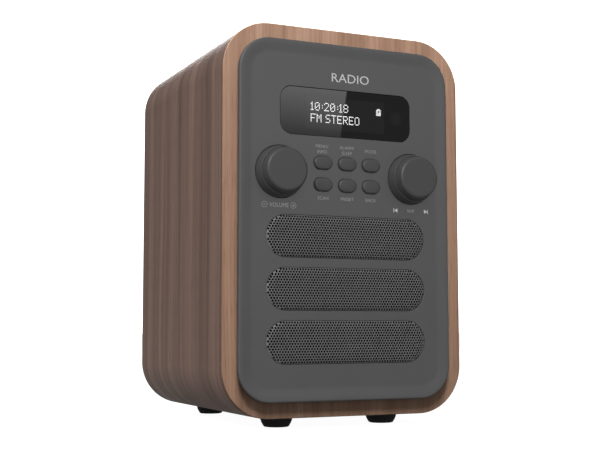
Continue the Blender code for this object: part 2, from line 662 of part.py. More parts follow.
def tongue_mesh():
    """The elbow's tongue: round about the pin, and running down into the collar."""
    loop = [(3.2 * math.cos(a), 3.2 * math.sin(a)) for a in arc(math.pi, 2 * math.pi, 8)]
    loop += [(3.2, 5.0), (-3.2, 5.0)]
    return slab(loop, -2.0, 2.0)


def arc(start, end, steps):
    return [start + (end - start) * i / steps for i in range(steps + 1)]


def slab(loop, low, high):
    """A flat shape drawn in the (y, z) plane, between two levels of x."""
    shape = bmesh.new()
    rings = [[shape.verts.new((x * MM, y * MM, z * MM)) for y, z in loop] for x in (low, high)]
    for i in range(len(loop)):
        after = (i + 1) % len(loop)
        shape.faces.new((rings[0][i], rings[0][after], rings[1][after], rings[1][i]))
    shape.faces.new(rings[0])
    shape.faces.new(rings[1])
    bmesh.ops.recalc_face_normals(shape, faces=shape.faces)
    mesh = bpy.data.meshes.new("slab")
    shape.to_mesh(mesh)
    shape.free()
    return mesh


def build_power_and_leads(face):
    """The battery pack on the cabinet floor, and the leads between the boards, speaker and aerial."""
    cell = 18.5
    pack = rounded(2 * cell, cell, cell / 2 - 0.2, (0, WALL + GAP + cell / 2), 6)
    place("battery_pack", plate([pack], 22 - DEPTH, -29), "battery_wrap", face)
    speaker_route = [(33, 40, -17), (38, 38, -30), (36, 40, -55), (28, 44, 37 - DEPTH), (24, 46, 23 - DEPTH)]
    wire("speaker_lead", speaker_route, 1.1, "wire", face)
    aerial_route = [(38, 153, 9.6), (36, 152.5, 14), (31, 146, 20), (30, 118, 25), (25, 90, 26), (20, 74, 22)]
    aerial_route = [(x, y, deep - DEPTH) for x, y, deep in aerial_route]
    wire("aerial_lead", aerial_route, 0.8, "black_plastic", face)
    ribbon_route = [(128, -11.6), (128, -30), (120, -60)]
    ribbon_route += [(100, 32 - DEPTH), (80, 23 - DEPTH), (70, 21.4 - DEPTH)]
    ribbon("ribbon_cable", ribbon_route, 18, 0.8, "ribbon", face)


def main():
    clear_scene()
    face = datum("face_frame", None, (0, FACE_Y, FOOT_HEIGHT), (90, 0, 0))
    rear = datum("rear_frame", None, (0, BACK_Y, FOOT_HEIGHT), (90, 0, 180))
    build_cabinet(face, rear)
    build_feet()
    build_baffle(face)
    build_panel(face)
    build_display(face)
    build_knobs(face)
    build_buttons(face)
    build_grilles(face)
    build_speaker(face)
    build_back(rear)
    build_aerial(rear)
    build_power_and_leads(face)


main()
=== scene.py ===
"""The looks of an upright wooden tabletop radio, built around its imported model.

Pieces are drawn in millimetres in one of two layouts. In the face layout x runs to the right, y up from the
cabinet's underside and z out of the wooden front. The rear layout is the same seen from behind, with z out of
the cabinet's back edge. A piece's mesh is moved to its place in the radio when it is finished.
"""

import logging
import math
from dataclasses import dataclass
from enum import Enum
from typing import Any, Iterable, Sequence

import bmesh
import bpy
from mathutils import Matrix, Vector

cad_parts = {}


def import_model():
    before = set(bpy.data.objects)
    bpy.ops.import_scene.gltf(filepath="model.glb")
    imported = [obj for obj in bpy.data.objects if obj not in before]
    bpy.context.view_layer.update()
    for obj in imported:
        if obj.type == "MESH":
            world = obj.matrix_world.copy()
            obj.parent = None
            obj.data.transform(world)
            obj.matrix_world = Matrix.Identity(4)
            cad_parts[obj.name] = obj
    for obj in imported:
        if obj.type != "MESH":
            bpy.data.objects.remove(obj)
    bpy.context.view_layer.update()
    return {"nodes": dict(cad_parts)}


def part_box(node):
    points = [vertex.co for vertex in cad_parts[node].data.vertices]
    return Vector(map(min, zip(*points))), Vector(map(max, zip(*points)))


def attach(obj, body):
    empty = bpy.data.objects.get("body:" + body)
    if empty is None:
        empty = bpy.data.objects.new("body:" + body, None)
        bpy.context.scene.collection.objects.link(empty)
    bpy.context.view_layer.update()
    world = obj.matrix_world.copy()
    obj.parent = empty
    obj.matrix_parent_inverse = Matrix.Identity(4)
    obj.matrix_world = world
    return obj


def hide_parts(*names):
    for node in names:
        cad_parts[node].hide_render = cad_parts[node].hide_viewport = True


MM = 0.001
CREASE = 32.0  # degrees between faces that stay sharp
ON_ITS_SIDE = Matrix.Rotation(math.pi / 2, 4, "Y")  # lays a turned piece along x

Mesh = bpy.types.Mesh
Object = bpy.types.Object
Node = bpy.types.Node
Socket = bpy.types.NodeSocket
Ring = list[bmesh.types.BMVert]
Point = tuple[float, float]
Loop = list[Point]
Section = tuple[Loop, float]
Colour = tuple[float, float, float]

log = logging.getLogger("radio")


# Outlines and profiles.


@dataclass(frozen=True)
class Outline:
    """A rectangle with round corners. With a radius of half its height it is a pill or a circle."""

    width: float
    height: float
    radius: float
    centre: Point = (0.0, 0.0)
    steps: int = 12

    def loop(self, grow: float = 0.0) -> Loop:
        """The outline's points, anticlockwise.

        Args:
            grow: How far outside the outline the points lie, or inside where it is negative.

        Returns:
            The points of one closed loop, always as many for the same steps.
        """
        radius = max(self.radius + grow, 0.02)
        across = self.width / 2 + grow - radius
        up = self.height / 2 + grow - radius
        points = []
        for quarter, (side, level) in enumerate(((1, 1), (-1, 1), (-1, -1), (1, -1))):
            for i in range(self.steps + 1):
                angle = math.pi / 2 * (quarter + i / self.steps)
                x = self.centre[0] + side * across + radius * math.cos(angle)
                y = self.centre[1] + level * up + radius * math.sin(angle)
                points.append((x, y))
        return points


def pill(width: float, height: float, centre: Point = (0.0, 0.0), steps: int = 12) -> Outline:
    """An outline whose short sides are half circles."""
    return Outline(width, height, height / 2 - 0.01, centre, steps)


def disc(radius: float, centre: Point = (0.0, 0.0), steps: int = 16) -> Outline:
    """A circle as an outline."""
    return Outline(2 * radius, 2 * radius, radius - 0.001, centre, steps)


def round_over(radius: float, top: float, side: int = -1, steps: int = 6) -> list[Point]:
    """The steps of a rounded edge, from its wall up to its flat top.

    Args:
        radius: The rounding's radius.
        top: The level of the flat top.
        side: -1 where the material lies inside the outline, 1 where the outline is a hole's.
        steps: How many faces round the edge.

    Returns:
        (grow, level) pairs.
    """
    turns = [math.pi / 2 * i / steps for i in range(steps + 1)]
    return [(side * radius * (1 - math.cos(a)), top - radius + radius * math.sin(a)) for a in turns]


class Shell:
    """A closed mesh under construction, in millimetres."""

    def __init__(self) -> None:
        """Starts an empty shape."""
        self.shape = bmesh.new()
        self.grain = self.shape.loops.layers.uv.new("grain")

    def ring(self, loop: Loop, level: float) -> Ring:
        """Adds a loop's points at a level and returns them."""
        return [self.shape.verts.new((x, y, level)) for x, y in loop]

    def rings(self, outline: Outline, steps: Iterable[Point]) -> list[Ring]:
        """Adds a ring for each (grow, level) of an outline and returns them."""
        return [self.ring(outline.loop(grow), level) for grow, level in steps]

    def wall(self, rings: Sequence[Ring], closed: bool = False) -> None:
        """Joins rings of equal count with faces, and lays the grain map along them.

        Args:
            rings: The rings, in order along the wall's profile.
            closed: Whether the last ring also joins the first.
        """
        stack = [*rings, rings[0]] if closed else list(rings)
        count = len(stack[0])
        around = [0.0]
        for i in range(count):
            around.append(around[-1] + (stack[0][i].co - stack[0][(i + 1) % count].co).length)
        up = 0.0
        for lower, upper in zip(stack, stack[1:]):
            rise = (lower[0].co - upper[0].co).length
            for i in range(count):
                after = (i + 1) % count
                face = self.shape.faces.new((lower[i], lower[after], upper[after], upper[i]))
                corners = ((i, 0), (i + 1, 0), (i + 1, 1), (i, 1))
                for corner, (along, level) in zip(face.loops, corners):
                    corner[self.grain].uv = (around[along] * MM, (up + rise * level) * MM)
            up += rise

    def flat(self, rings: Iterable[Ring]) -> None:
        """Fills the flat space between an outer ring and the rings of holes in it."""
        edges = []
        for ring in rings:
            for i, corner in enumerate(ring):
                after = ring[(i + 1) % len(ring)]
                edges.append(self.shape.edges.get((corner, after)) or self.shape.edges.new((corner, after)))
        bmesh.ops.triangle_fill(self.shape, edges=edges, use_beauty=True)

    def plate(
        self, outside: Outline, steps: Iterable[Point], holes: Iterable[Outline], around: Iterable[Point]
    ) -> None:
        """Adds a plate with holes.

        Args:
            outside: The plate's outline.
            steps: The (grow, level) of its wall, from its back to its front.
            holes: The holes' outlines.
            around: The (grow, level) of each hole's wall, from the back to the front.
        """
        walls = [self.rings(outside, steps)]
        self.wall(walls[0])
        for hole in holes:
            walls.append(self.rings(hole, around))
            self.wall(walls[-1])
        self.flat([rings[-1] for rings in walls])
        self.flat([rings[0] for rings in walls])

    def solid(self, rings: Sequence[Ring]) -> None:
        """Adds a wall through rings of equal count and closes both its ends with flat faces."""
        self.wall(rings)
        self.shape.faces.new(rings[0])
        self.shape.faces.new(rings[-1])

    def stack(self, sections: Iterable[Section]) -> None:
        """Adds a solid through loops of equal count, with flat ends."""
        self.solid([self.ring(loop, level) for loop, level in sections])

    def lathe(self, profile: Sequence[Point], steps: int) -> None:
        """Adds a solid of revolution about z.

        Args:
            profile: (radius, level) points, which make a ring or begin and end on the axis.
            steps: How many faces round it.
        """
        turns = [2 * math.pi * i / steps for i in range(steps)]
        rings = []
        for radius, level in profile:
            loop = [(radius * math.cos(a), radius * math.sin(a)) for a in turns]
            rings.append(self.ring(loop if radius else [(0.0, 0.0)], level))
        if len(rings[0]) > 1:
            rings.append(rings[0])
        for lower, upper in zip(rings, rings[1:]):
            for i in range(steps):
                after = (i + 1) % steps
                corners = [lower[i % len(lower)], lower[after % len(lower)]]
                corners += [upper[after % len(upper)], upper[i % len(upper)]]
                distinct = list(dict.fromkeys(corners))
                if len(distinct) > 2:
                    self.shape.faces.new(distinct)

    def mesh(self, place: Matrix, bevel: float = 0.0) -> Mesh:
        """Finishes the shape.

        Args:
            place: Takes the drawing, in millimetres, to its place in the radio.
            bevel: The width of a bevel on every sharp edge, or 0 for none.

        Returns:
            The mesh in metres, smooth but for its sharp edges.
        """
        bmesh.ops.remove_doubles(self.shape, verts=self.shape.verts, dist=0.001)
        return finished(self.raw(), place, bevel)

    def raw(self) -> Mesh:
        """The shape as it stands, in millimetres, with its faces turned outwards."""
        bmesh.ops.recalc_face_normals(self.shape, faces=self.shape.faces)
        return drawn_mesh(self.shape)


def drawn_mesh(shape: bmesh.types.BMesh) -> Mesh:
    """The mesh of a drawn shape, which is used up."""
    mesh = bpy.data.meshes.new("drawn")
    shape.to_mesh(mesh)
    shape.free()
    return mesh


def finished(raw: Mesh, place: Matrix, bevel: float = 0.0) -> Mesh:
    """Bevels a mesh, smooths it but for its sharp edges, and moves it to its place.

    Args:
        raw: The mesh in millimetres, which is used up.
        place: Takes it to its place in the radio.
        bevel: The width of a bevel on its sharp edges, or 0 for none.

    Returns:
        The mesh in metres.
    """
    raw.shade_smooth()
    raw.set_sharp_from_angle(angle=math.radians(CREASE))
    bearer = placed("bearer", raw)
    if bevel:
        rounding = bearer.modifiers.new("bevel", "BEVEL")
        rounding.width = bevel
        rounding.segments = 2
        rounding.limit_method = "ANGLE"
        rounding.angle_limit = math.radians(CREASE)
        rounding.harden_normals = True
    even = bearer.modifiers.new("even", "WEIGHTED_NORMAL")
    even.keep_sharp = True
    mesh = evaluated_mesh(bearer)
    mesh.transform(place @ Matrix.Scale(MM, 4))
    return mesh


def placed(name: str, data: Any) -> Object:
    """A new object in the scene that holds this data."""
    made = bpy.data.objects.new(name, data)
    bpy.context.scene.collection.objects.link(made)
    return made


def turned(profile: Sequence[Point], steps: int, place: Matrix) -> Mesh:
    """The mesh of a solid of revolution, in its place."""
    shell = Shell()
    shell.lathe(profile, steps)
    return shell.mesh(place)


def evaluated_mesh(bearer: Object) -> Mesh:
    """The plain mesh that an object's modifiers give. The object and its own data are removed."""
    bpy.context.view_layer.update()
    graph = bpy.context.evaluated_depsgraph_get()
    mesh = bpy.data.meshes.new_from_object(bearer.evaluated_get(graph), depsgraph=graph)
    data = bearer.data
    bpy.data.objects.remove(bearer)
    if isinstance(data, Mesh):
        bpy.data.meshes.remove(data)
    return mesh


def carved(mesh: Mesh, cutter: Mesh) -> Mesh:
    """A mesh with the cutter's bodies taken away. Both are used up."""
    bearer = placed("bearer", mesh)
    tool = placed("tool", cutter)
    cut = bearer.modifiers.new("cut", "BOOLEAN")
    cut.operation = "DIFFERENCE"
    cut.solver = "MANIFOLD"
    cut.object = tool
    result = evaluated_mesh(bearer)
    bpy.data.objects.remove(tool)
    bpy.data.meshes.remove(cutter)
    return result


def joined(meshes: Iterable[Mesh]) -> Mesh:
    """One mesh that holds all of these, which are used up."""
    shape = bmesh.new()
    for mesh in meshes:
        shape.from_mesh(mesh)
        bpy.data.meshes.remove(mesh)
    return drawn_mesh(shape)


def box_mesh(low: Sequence[float], high: Sequence[float]) -> Mesh:
    """A plain block between two corners, in millimetres, for use inside another shape."""
    shape = bmesh.new()
    bmesh.ops.create_cube(shape, size=1.0)
    size = Vector(high) - Vector(low)
    bmesh.ops.scale(shape, vec=size, verts=shape.verts)
    bmesh.ops.translate(shape, vec=(Vector(low) + Vector(high)) / 2, verts=shape.verts)
    return drawn_mesh(shape)


# Finishes.


class NodeSheet:
    """A node tree with short ways to add and join nodes."""

    def __init__(self, tree: bpy.types.NodeTree) -> None:
        """Takes the tree to draw in."""
        self.tree = tree

    def node(self, kind: str, inputs: dict[Any, Any] | None = None, **settings: Any) -> Node:
        """Adds a node.

        Args:
            kind: Blender's name for the type of node.
            inputs: A value, or a socket to join, for each input that is named or numbered.
            **settings: The node's own properties.

        Returns:
            The new node.
        """
        made = self.tree.nodes.new(kind)
        for key, value in settings.items():
            setattr(made, key, value)
        self.feed(made, inputs or {})
        return made

    def feed(self, node: Node, inputs: dict[Any, Any]) -> None:
        """Gives each input that is named or numbered its value, or joins it to a socket."""
        for key, value in inputs.items():
            if isinstance(value, Socket):
                self.tree.links.new(value, node.inputs[key])
            elif isinstance(value, tuple) and node.inputs[key].type == "RGBA":
                node.inputs[key].default_value = (*value, 1.0)
            else:
                node.inputs[key].default_value = value

    def where(self, coordinates: str = "Object") -> Socket:
        """The place of what is drawn."""
        return self.node("ShaderNodeTexCoord").outputs[coordinates]

    def split(self, vector: Socket) -> list[Socket]:
        """A vector's three numbers."""
        return list(self.node("ShaderNodeSeparateXYZ", {0: vector}).outputs)

    def joined(self, *numbers: Any) -> Socket:
        """One vector of up to three numbers."""
        return self.node("ShaderNodeCombineXYZ", dict(enumerate(numbers))).outputs[0]

    def noise(self, vector: Socket, stretch: Sequence[float], detail: float = 2.0) -> Any:
        """A noise whose cells are one over the stretch across, in metres along each axis."""
        mapping = self.node("ShaderNodeMapping", {"Vector": vector, "Scale": tuple(stretch)})
        made = self.node("ShaderNodeTexNoise", {"Vector": mapping.outputs[0], "Scale": 1.0, "Detail": detail})
        return made.outputs["Fac"]

    def ramp(self, factor: Socket, stops: Sequence[tuple[float, Colour]]) -> Any:
        """Turns a factor into a colour through stops of (position, colour)."""
        made = self.node("ShaderNodeValToRGB", {"Fac": factor})
        elements = made.color_ramp.elements
        while len(elements) < len(stops):
            elements.new(0.5)
        for element, (position, colour) in zip(elements, stops):
            element.position = position
            element.color = (*colour, 1.0)
        return made.outputs["Color"]

    def span(self, factor: Socket, low: float, high: float, new: Point = (0.0, 1.0)) -> Any:
        """Stretches a value from low..high to a new range, clamped."""
        values = {"Value": factor, "From Min": low, "From Max": high, "To Min": new[0], "To Max": new[1]}
        return self.node("ShaderNodeMapRange", values).outputs["Result"]

    def mix(self, factor: Any, first: Any, second: Any, blend: str = "MIX") -> Any:
        """Blends two colours."""
        made = self.node("ShaderNodeMix", data_type="RGBA", blend_type=blend)
        self.feed(made, {"Factor": factor, 6: first, 7: second})
        return made.outputs[2]

    def maths(self, operation: str, first: Any, second: Any = 0.0) -> Any:
        """One sum of two values."""
        return self.node("ShaderNodeMath", {0: first, 1: second}, operation=operation).outputs[0]

    def bump(self, height: Any, distance: float, strength: float = 1.0) -> Any:
        """A bump from a height between 0 and 1 that stands for a distance in metres."""
        values = {"Height": height, "Distance": distance, "Strength": strength}
        return self.node("ShaderNodeBump", values).outputs["Normal"]


def scaled(colour: Colour, share: float) -> Colour:
    """A colour made darker or lighter."""
    return (colour[0] * share, colour[1] * share, colour[2] * share)


@dataclass(frozen=True)
class Finish:
    """What every finish has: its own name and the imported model's material slot that it stands for."""

    name: str
    slot: str

    def material(self) -> bpy.types.Material:
        """The finish's material, made at its first use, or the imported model's own of the same name."""
        found = bpy.data.materials.get(self.name)
        if found:
            return found
        made = bpy.data.materials.new(self.name)
        made.use_nodes = True
        shader = made.node_tree.nodes["Principled BSDF"]
        self.paint(NodeSheet(made.node_tree), shader)
        return made

    def paint(self, sheet: NodeSheet, shader: Node) -> None:
        """Draws the finish's nodes. Each kind of finish has its own."""
        raise NotImplementedError(self.name)


class Grain(Enum):
    """How the wood's grain lies."""

    ROUND_THE_SLEEVE = "round the sleeve"
    UPRIGHT = "upright"


@dataclass(frozen=True)
class Veneer(Finish):
    """Satin walnut: broad bands, fine streaks and open pores along the grain."""

    grain: Grain
    deep: Colour
    middle: Colour
    pale: Colour
    bands: float = 110.0  # per metre across the grain
    drift: float = 0.006  # how far a band wanders, in metres
    roughness: float = 0.46

    def paint(self, sheet: NodeSheet, shader: Node) -> None:
        """Draws the wood in (across, along) coordinates."""
        if self.grain is Grain.ROUND_THE_SLEEVE:
            along, across, _ = sheet.split(sheet.where("UV"))
        else:
            across, _, along = sheet.split(sheet.where())
        plain = sheet.joined(across, along)
        wander = sheet.noise(plain, (28.0, 9.0, 1.0), 1.0)
        drift = sheet.maths("MULTIPLY", sheet.maths("SUBTRACT", wander, 0.5), self.drift)
        moved = sheet.joined(sheet.maths("ADD", across, drift), along)
        broad = sheet.noise(moved, (self.bands, 1.6, 1.0), 3.0)
        fine = sheet.noise(moved, (self.bands * 7, 6.0, 1.0), 3.0)
        pores = sheet.noise(moved, (4200.0, 90.0, 1.0), 1.0)
        streaks = sheet.span(fine, 0.3, 0.7)
        open_pores = sheet.span(pores, 0.6, 0.72)
        body = sheet.ramp(broad, ((0.3, self.deep), (0.5, self.middle), (0.7, self.pale)))
        lines = sheet.ramp(streaks, ((0.0, (0.62, 0.6, 0.6)), (1.0, (1.25, 1.25, 1.25))))
        lined = sheet.mix(0.45, body, lines, "MULTIPLY")
        colour = sheet.mix(sheet.maths("MULTIPLY", open_pores, 0.35), lined, self.deep, "MULTIPLY")
        rough = sheet.span(fine, 0.3, 0.7, (self.roughness + 0.08, self.roughness - 0.06))
        height = sheet.maths("SUBTRACT", sheet.maths("MULTIPLY", streaks, 0.35), open_pores)
        sheet.feed(shader, {"Base Color": colour, "Roughness": rough, "Specular IOR Level": 0.18})
        sheet.feed(shader, {"Normal": sheet.bump(height, 0.00003)})


@dataclass(frozen=True)
class Moulding(Finish):
    """Plastic, rubber or paint: an even colour with a fine spark-eroded or orange-peel texture."""

    colour: Colour
    roughness: float
    texture: float = 0.00001  # the height of the surface's fine texture, in metres
    texture_size: float = 0.0002
    variation: float = 0.04
    metallic: float = 0.0
    shine: float = 0.5

    def paint(self, sheet: NodeSheet, shader: Node) -> None:
        """Draws the colour with a faint mottle, and the texture as a bump."""
        where = sheet.where()
        mottle = sheet.noise(where, (90.0, 90.0, 90.0), 2.0)
        darker, lighter = [scaled(self.colour, 1 + sign * self.variation) for sign in (-1, 1)]
        colour = sheet.ramp(mottle, ((0.35, darker), (0.65, lighter)))
        size = 1 / self.texture_size
        texture = sheet.noise(where, (size, size, size), 1.0)
        rough = sheet.span(mottle, 0.3, 0.7, (self.roughness - 0.03, self.roughness + 0.03))
        bump = sheet.bump(texture, self.texture)
        sheet.feed(shader, {"Base Color": colour, "Roughness": rough, "Normal": bump})
        sheet.feed(shader, {"Metallic": self.metallic, "Specular IOR Level": self.shine})


@dataclass(frozen=True)
class Metal(Finish):
    """Bare or plated metal with fine brushing along one axis."""

    colour: Colour
    roughness: float
    brushed: tuple[float, float, float] = (3000.0, 3000.0, 3000.0)  # per metre, least along the brushing

    def paint(self, sheet: NodeSheet, shader: Node) -> None:
        """Draws the metal with a roughness and a bump that follow the brushing."""
        where = sheet.where()
        lines = sheet.noise(where, self.brushed, 2.0)
        smears = sheet.noise(where, (60.0, 60.0, 60.0), 2.0)
        smeared = sheet.ramp(smears, ((0.35, scaled(self.colour, 0.88)), (0.65, self.colour)))
        rough = sheet.span(lines, 0.3, 0.7, (self.roughness * 0.8, self.roughness * 1.3))
        bump = sheet.bump(lines, 0.000002)
        sheet.feed(shader, {"Base Color": smeared, "Roughness": rough, "Normal": bump, "Metallic": 1.0})


@dataclass(frozen=True)
class SmokedWindow(Finish):
    """Gloss black glazing, a little lighter over the lit area of the display behind it."""

    low: Vector
    high: Vector
    sensor: Vector
    sensor_radius: float
    black: Colour = (0.0035, 0.0035, 0.0038)
    lit: Colour = (0.0115, 0.0115, 0.012)

    def paint(self, sheet: NodeSheet, shader: Node) -> None:
        """Marks the display's area and the sensor's disc by their places in the radio."""
        where = sheet.where()
        place = sheet.split(where)
        inside: Any = 1.0
        for axis in (0, 2):
            for sense, edge in ((1, self.low[axis]), (-1, self.high[axis])):
                beyond = sheet.maths("MULTIPLY", sheet.maths("SUBTRACT", place[axis], edge), sense)
                inside = sheet.maths("MULTIPLY", sheet.maths("GREATER_THAN", beyond, 0.0), inside)
        centre = (self.sensor.x, 0.0, self.sensor.z)
        flat = sheet.node("ShaderNodeVectorMath", {0: where, 1: (1.0, 0.0, 1.0)}, operation="MULTIPLY")
        reach = sheet.node("ShaderNodeVectorMath", {0: flat.outputs[0], 1: centre}, operation="DISTANCE")
        eye = sheet.maths("LESS_THAN", reach.outputs["Value"], self.sensor_radius)
        shown = sheet.maths("MAXIMUM", inside, sheet.maths("MULTIPLY", eye, 0.8))
        film = sheet.noise(where, (45.0, 45.0, 45.0), 3.0)
        sheet.feed(shader, {"Base Color": sheet.mix(shown, self.black, self.lit)})
        sheet.feed(shader, {"Roughness": sheet.span(film, 0.35, 0.7, (0.012, 0.022))})
        sheet.feed(shader, {"Specular IOR Level": 0.42})


@dataclass(frozen=True)
class Glow(Finish):
    """Lit dots of the display."""

    colour: Colour
    strength: float

    def paint(self, sheet: NodeSheet, shader: Node) -> None:
        """Draws dots that shine a little unevenly."""
        uneven = sheet.noise(sheet.where(), (900.0, 900.0, 900.0), 1.0)
        glow = sheet.ramp(uneven, ((0.3, scaled(self.colour, 0.93)), (0.7, self.colour)))
        sheet.feed(shader, {"Base Color": self.colour, "Emission Color": glow})
        sheet.feed(shader, {"Emission Strength": self.strength})


@dataclass(frozen=True)
class CircuitBoard(Finish):
    """Green solder resist over copper tracks and pads."""

    colour: Colour
    track: Colour

    def paint(self, sheet: NodeSheet, shader: Node) -> None:
        """Draws tracks as the edges of square cells, and pads as dots."""
        mapping = {"Vector": sheet.where(), "Scale": (260.0, 1.0, 260.0)}
        turned = sheet.node("ShaderNodeMapping", mapping).outputs[0]
        cells = sheet.node("ShaderNodeTexVoronoi", {"Vector": turned, "Scale": 1.0}, distance="CHEBYCHEV")
        tracks = sheet.span(cells.outputs["Distance"], 0.42, 0.46)
        dots = sheet.node("ShaderNodeTexVoronoi", {"Vector": turned, "Scale": 1.7})
        pads = sheet.span(dots.outputs["Distance"], 0.16, 0.1)
        green = sheet.mix(sheet.maths("MULTIPLY", tracks, 0.6), self.colour, self.track)
        sheet.feed(shader, {"Base Color": sheet.mix(pads, green, (0.55, 0.55, 0.5))})
        sheet.feed(shader, {"Normal": sheet.bump(tracks, 0.00003), "Roughness": 0.35})


@dataclass(frozen=True)
class Cloth(Finish):
    """A fine woven cloth, flat across X and Z."""

    colour: Colour
    threads: float = 2500.0  # per metre

    def paint(self, sheet: NodeSheet, shader: Node) -> None:
        """Draws warp and weft as two sets of crossing waves."""
        waves = []
        for along in sheet.split(sheet.where())[::2]:
            phase = sheet.maths("MULTIPLY", along, self.threads * math.pi)
            waves.append(sheet.maths("ABSOLUTE", sheet.maths("SINE", phase)))
        weave = sheet.maths("MULTIPLY", waves[0], waves[1])
        woven = sheet.ramp(weave, ((0.0, scaled(self.colour, 0.4)), (1.0, self.colour)))
        sheet.feed(shader, {"Base Color": woven, "Normal": sheet.bump(weave, 0.00005), "Roughness": 0.95})


PANEL_GREY = Moulding("panel_plastic", "panel_grey", (0.098, 0.098, 0.099), 0.52, 0.000006, 0.00025, 0.02)
KNOB_GREY = Moulding("knob_plastic", "knob_grey", (0.07, 0.07, 0.071), 0.46, 0.000005, 0.0002, 0.02)
GRILLE_PAINT = Moulding("grille_paint", "grille_grey", (0.185, 0.185, 0.186), 0.5, 0.000004, 0.0003, 0.03)
BACK_PLASTIC = Moulding("back_plastic", "black_plastic", (0.022, 0.022, 0.023), 0.55, 0.00002, 0.0005, 0.06)
DARK_PLASTIC = Moulding("dark_plastic", "black_plastic", (0.02, 0.02, 0.021), 0.5)
PRINT = Moulding("printed_ink", "panel_grey", (0.33, 0.33, 0.33), 0.6, 0.000003, 0.0002, 0.05)
BRIGHT_PRINT = Moulding("bright_ink", "panel_grey", (0.68, 0.68, 0.68), 0.6, 0.000003, 0.0002, 0.05)
BACK_PRINT = Moulding("back_ink", "black_plastic", (0.6, 0.6, 0.6), 0.6, 0.000003, 0.0002, 0.05)
FOOT_RUBBER = Moulding("foot_rubber", "foot_rubber", (0.055, 0.055, 0.056), 0.72, 0.00002, 0.0004, 0.1)
SURROUND_RUBBER = Moulding(
    "surround_rubber", "surround_rubber", (0.016, 0.016, 0.017), 0.62, 0.00001, 0.0005, 0.1
)
FIBREBOARD = Moulding("fibreboard", "mdf", (0.36, 0.24, 0.14), 0.9, 0.00004, 0.0006, 0.14)
DISPLAY_GLASS = Moulding("display_glass", "display_black", (0.01, 0.01, 0.012), 0.18, 0.000001)
CONE_PAPER = Moulding("cone_paper", "cone_paper", (0.022, 0.022, 0.024), 0.88, 0.00006, 0.0009, 0.2)
MAGNET_COAT = Moulding("magnet_coat", "magnet_black", (0.03, 0.03, 0.032), 0.55, 0.00002, 0.0006, 0.15, 0.6)
BATTERY_WRAP = Moulding("battery_wrap", "battery_wrap", (0.02, 0.09, 0.26), 0.3, 0.00001, 0.003, 0.08)
WIRE_SLEEVING = Moulding("wire_sleeving", "red_wire", (0.22, 0.012, 0.012), 0.45, 0.000005, 0.001, 0.1)
RIBBON_SLEEVING = Moulding("ribbon_sleeving", "grey_ribbon", (0.32, 0.32, 0.33), 0.5, 0.00002, 0.0008, 0.1)
DUST_CLOTH = Cloth("dust_cloth", "cloth", (0.004, 0.004, 0.004))
PLATED_STEEL = Metal("plated_steel", "plated_steel", (0.55, 0.55, 0.56), 0.32)
AERIAL_CHROME = Metal("aerial_chrome", "aerial_chrome", (0.8, 0.8, 0.81), 0.1, (4000.0, 4000.0, 60.0))
BOARD_RESIST = CircuitBoard("board_resist", "board_green", (0.012, 0.09, 0.04), (0.03, 0.17, 0.07))
DISPLAY_DOTS = Glow("display_dots", "display_black", (1.0, 1.0, 1.0), 0.95)
SIDE_VENEER = Veneer(
    "side_veneer", "veneer_side", Grain.ROUND_THE_SLEEVE,
    (0.131, 0.079, 0.06), (0.219, 0.136, 0.104), (0.296, 0.188, 0.146),
)
FRONT_VENEER = Veneer(
    "front_veneer", "veneer_front", Grain.UPRIGHT,
    (0.24, 0.138, 0.09), (0.36, 0.215, 0.143), (0.45, 0.285, 0.2),
)


# The radio.


@dataclass(frozen=True)
class Side:
    """One of the two layouts that pieces are drawn in."""

    matrix: Matrix  # takes a drawing in metres to its place in the radio

    def box(self, node: str) -> tuple[Vector, Vector]:
        """(lowest, highest) corner of a node in this layout, in millimetres."""
        corners = [self.matrix.inverted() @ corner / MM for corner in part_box(node)]
        low = Vector(map(min, *corners))
        return low, Vector(map(max, *corners))

    def centre(self, node: str) -> Point:
        """The middle of a node in this layout."""
        low, high = self.box(node)
        return ((low.x + high.x) / 2, (low.y + high.y) / 2)

    def at(self, x: float, y: float, z: float = 0.0) -> Matrix:
        """Takes a drawing about the origin to a point of this layout."""
        return self.matrix @ Matrix.Translation((x * MM, y * MM, z * MM))


@dataclass(frozen=True)
class Layout:
    """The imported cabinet's size in millimetres, and the layouts of its face and its rear."""

    width: float
    height: float
    depth: float
    face: Side
    rear: Side

    @classmethod
    def from_frame(cls) -> "Layout":
        """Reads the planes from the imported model."""
        low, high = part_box("front_facing")
        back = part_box("cabinet_sleeve")[1].y
        upright = Matrix.Rotation(math.pi / 2, 4, "X")
        face = Matrix.Translation((0, low.y, low.z)) @ upright
        rear = Matrix.Translation((0, back, low.z)) @ Matrix.Rotation(math.pi, 4, "Z") @ upright
        size = ((high.x - low.x) / MM, (high.z - low.z) / MM, (back - low.y) / MM)
        return cls(*size, Side(face), Side(rear))


@dataclass
class Assembly:
    """What every sub-assembly has: the layout, the body that it rides on, and a way to add pieces."""

    layout: Layout
    body: str = "cabinet"

    @property
    def face(self) -> Side:
        """The layout of the cabinet's face."""
        return self.layout.face

    @property
    def rear(self) -> Side:
        """The layout of the cabinet's rear."""
        return self.layout.rear

    def add(
        self, name: str, mesh: Mesh, finish: Finish, *replaced: str, body: str = ""
    ) -> Object:
        """Puts a finished mesh in the scene as a piece.

        Args:
            name: The piece's name.
            mesh: Its mesh, in its place in the radio.
            finish: What covers it.
            *replaced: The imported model's nodes that it stands for.
            body: The body that it rides on, where that isn't the sub-assembly's own.

        Returns:
            The piece.
        """
        mesh.name = name
        mesh.materials.clear()
        mesh.materials.append(finish.material())
        piece = placed(name, mesh)
        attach(piece, body or self.body)
        if replaced:
            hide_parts(*replaced)
        log.info("%s: %d faces, rides on %s", name, len(mesh.polygons), body or self.body)
        return piece


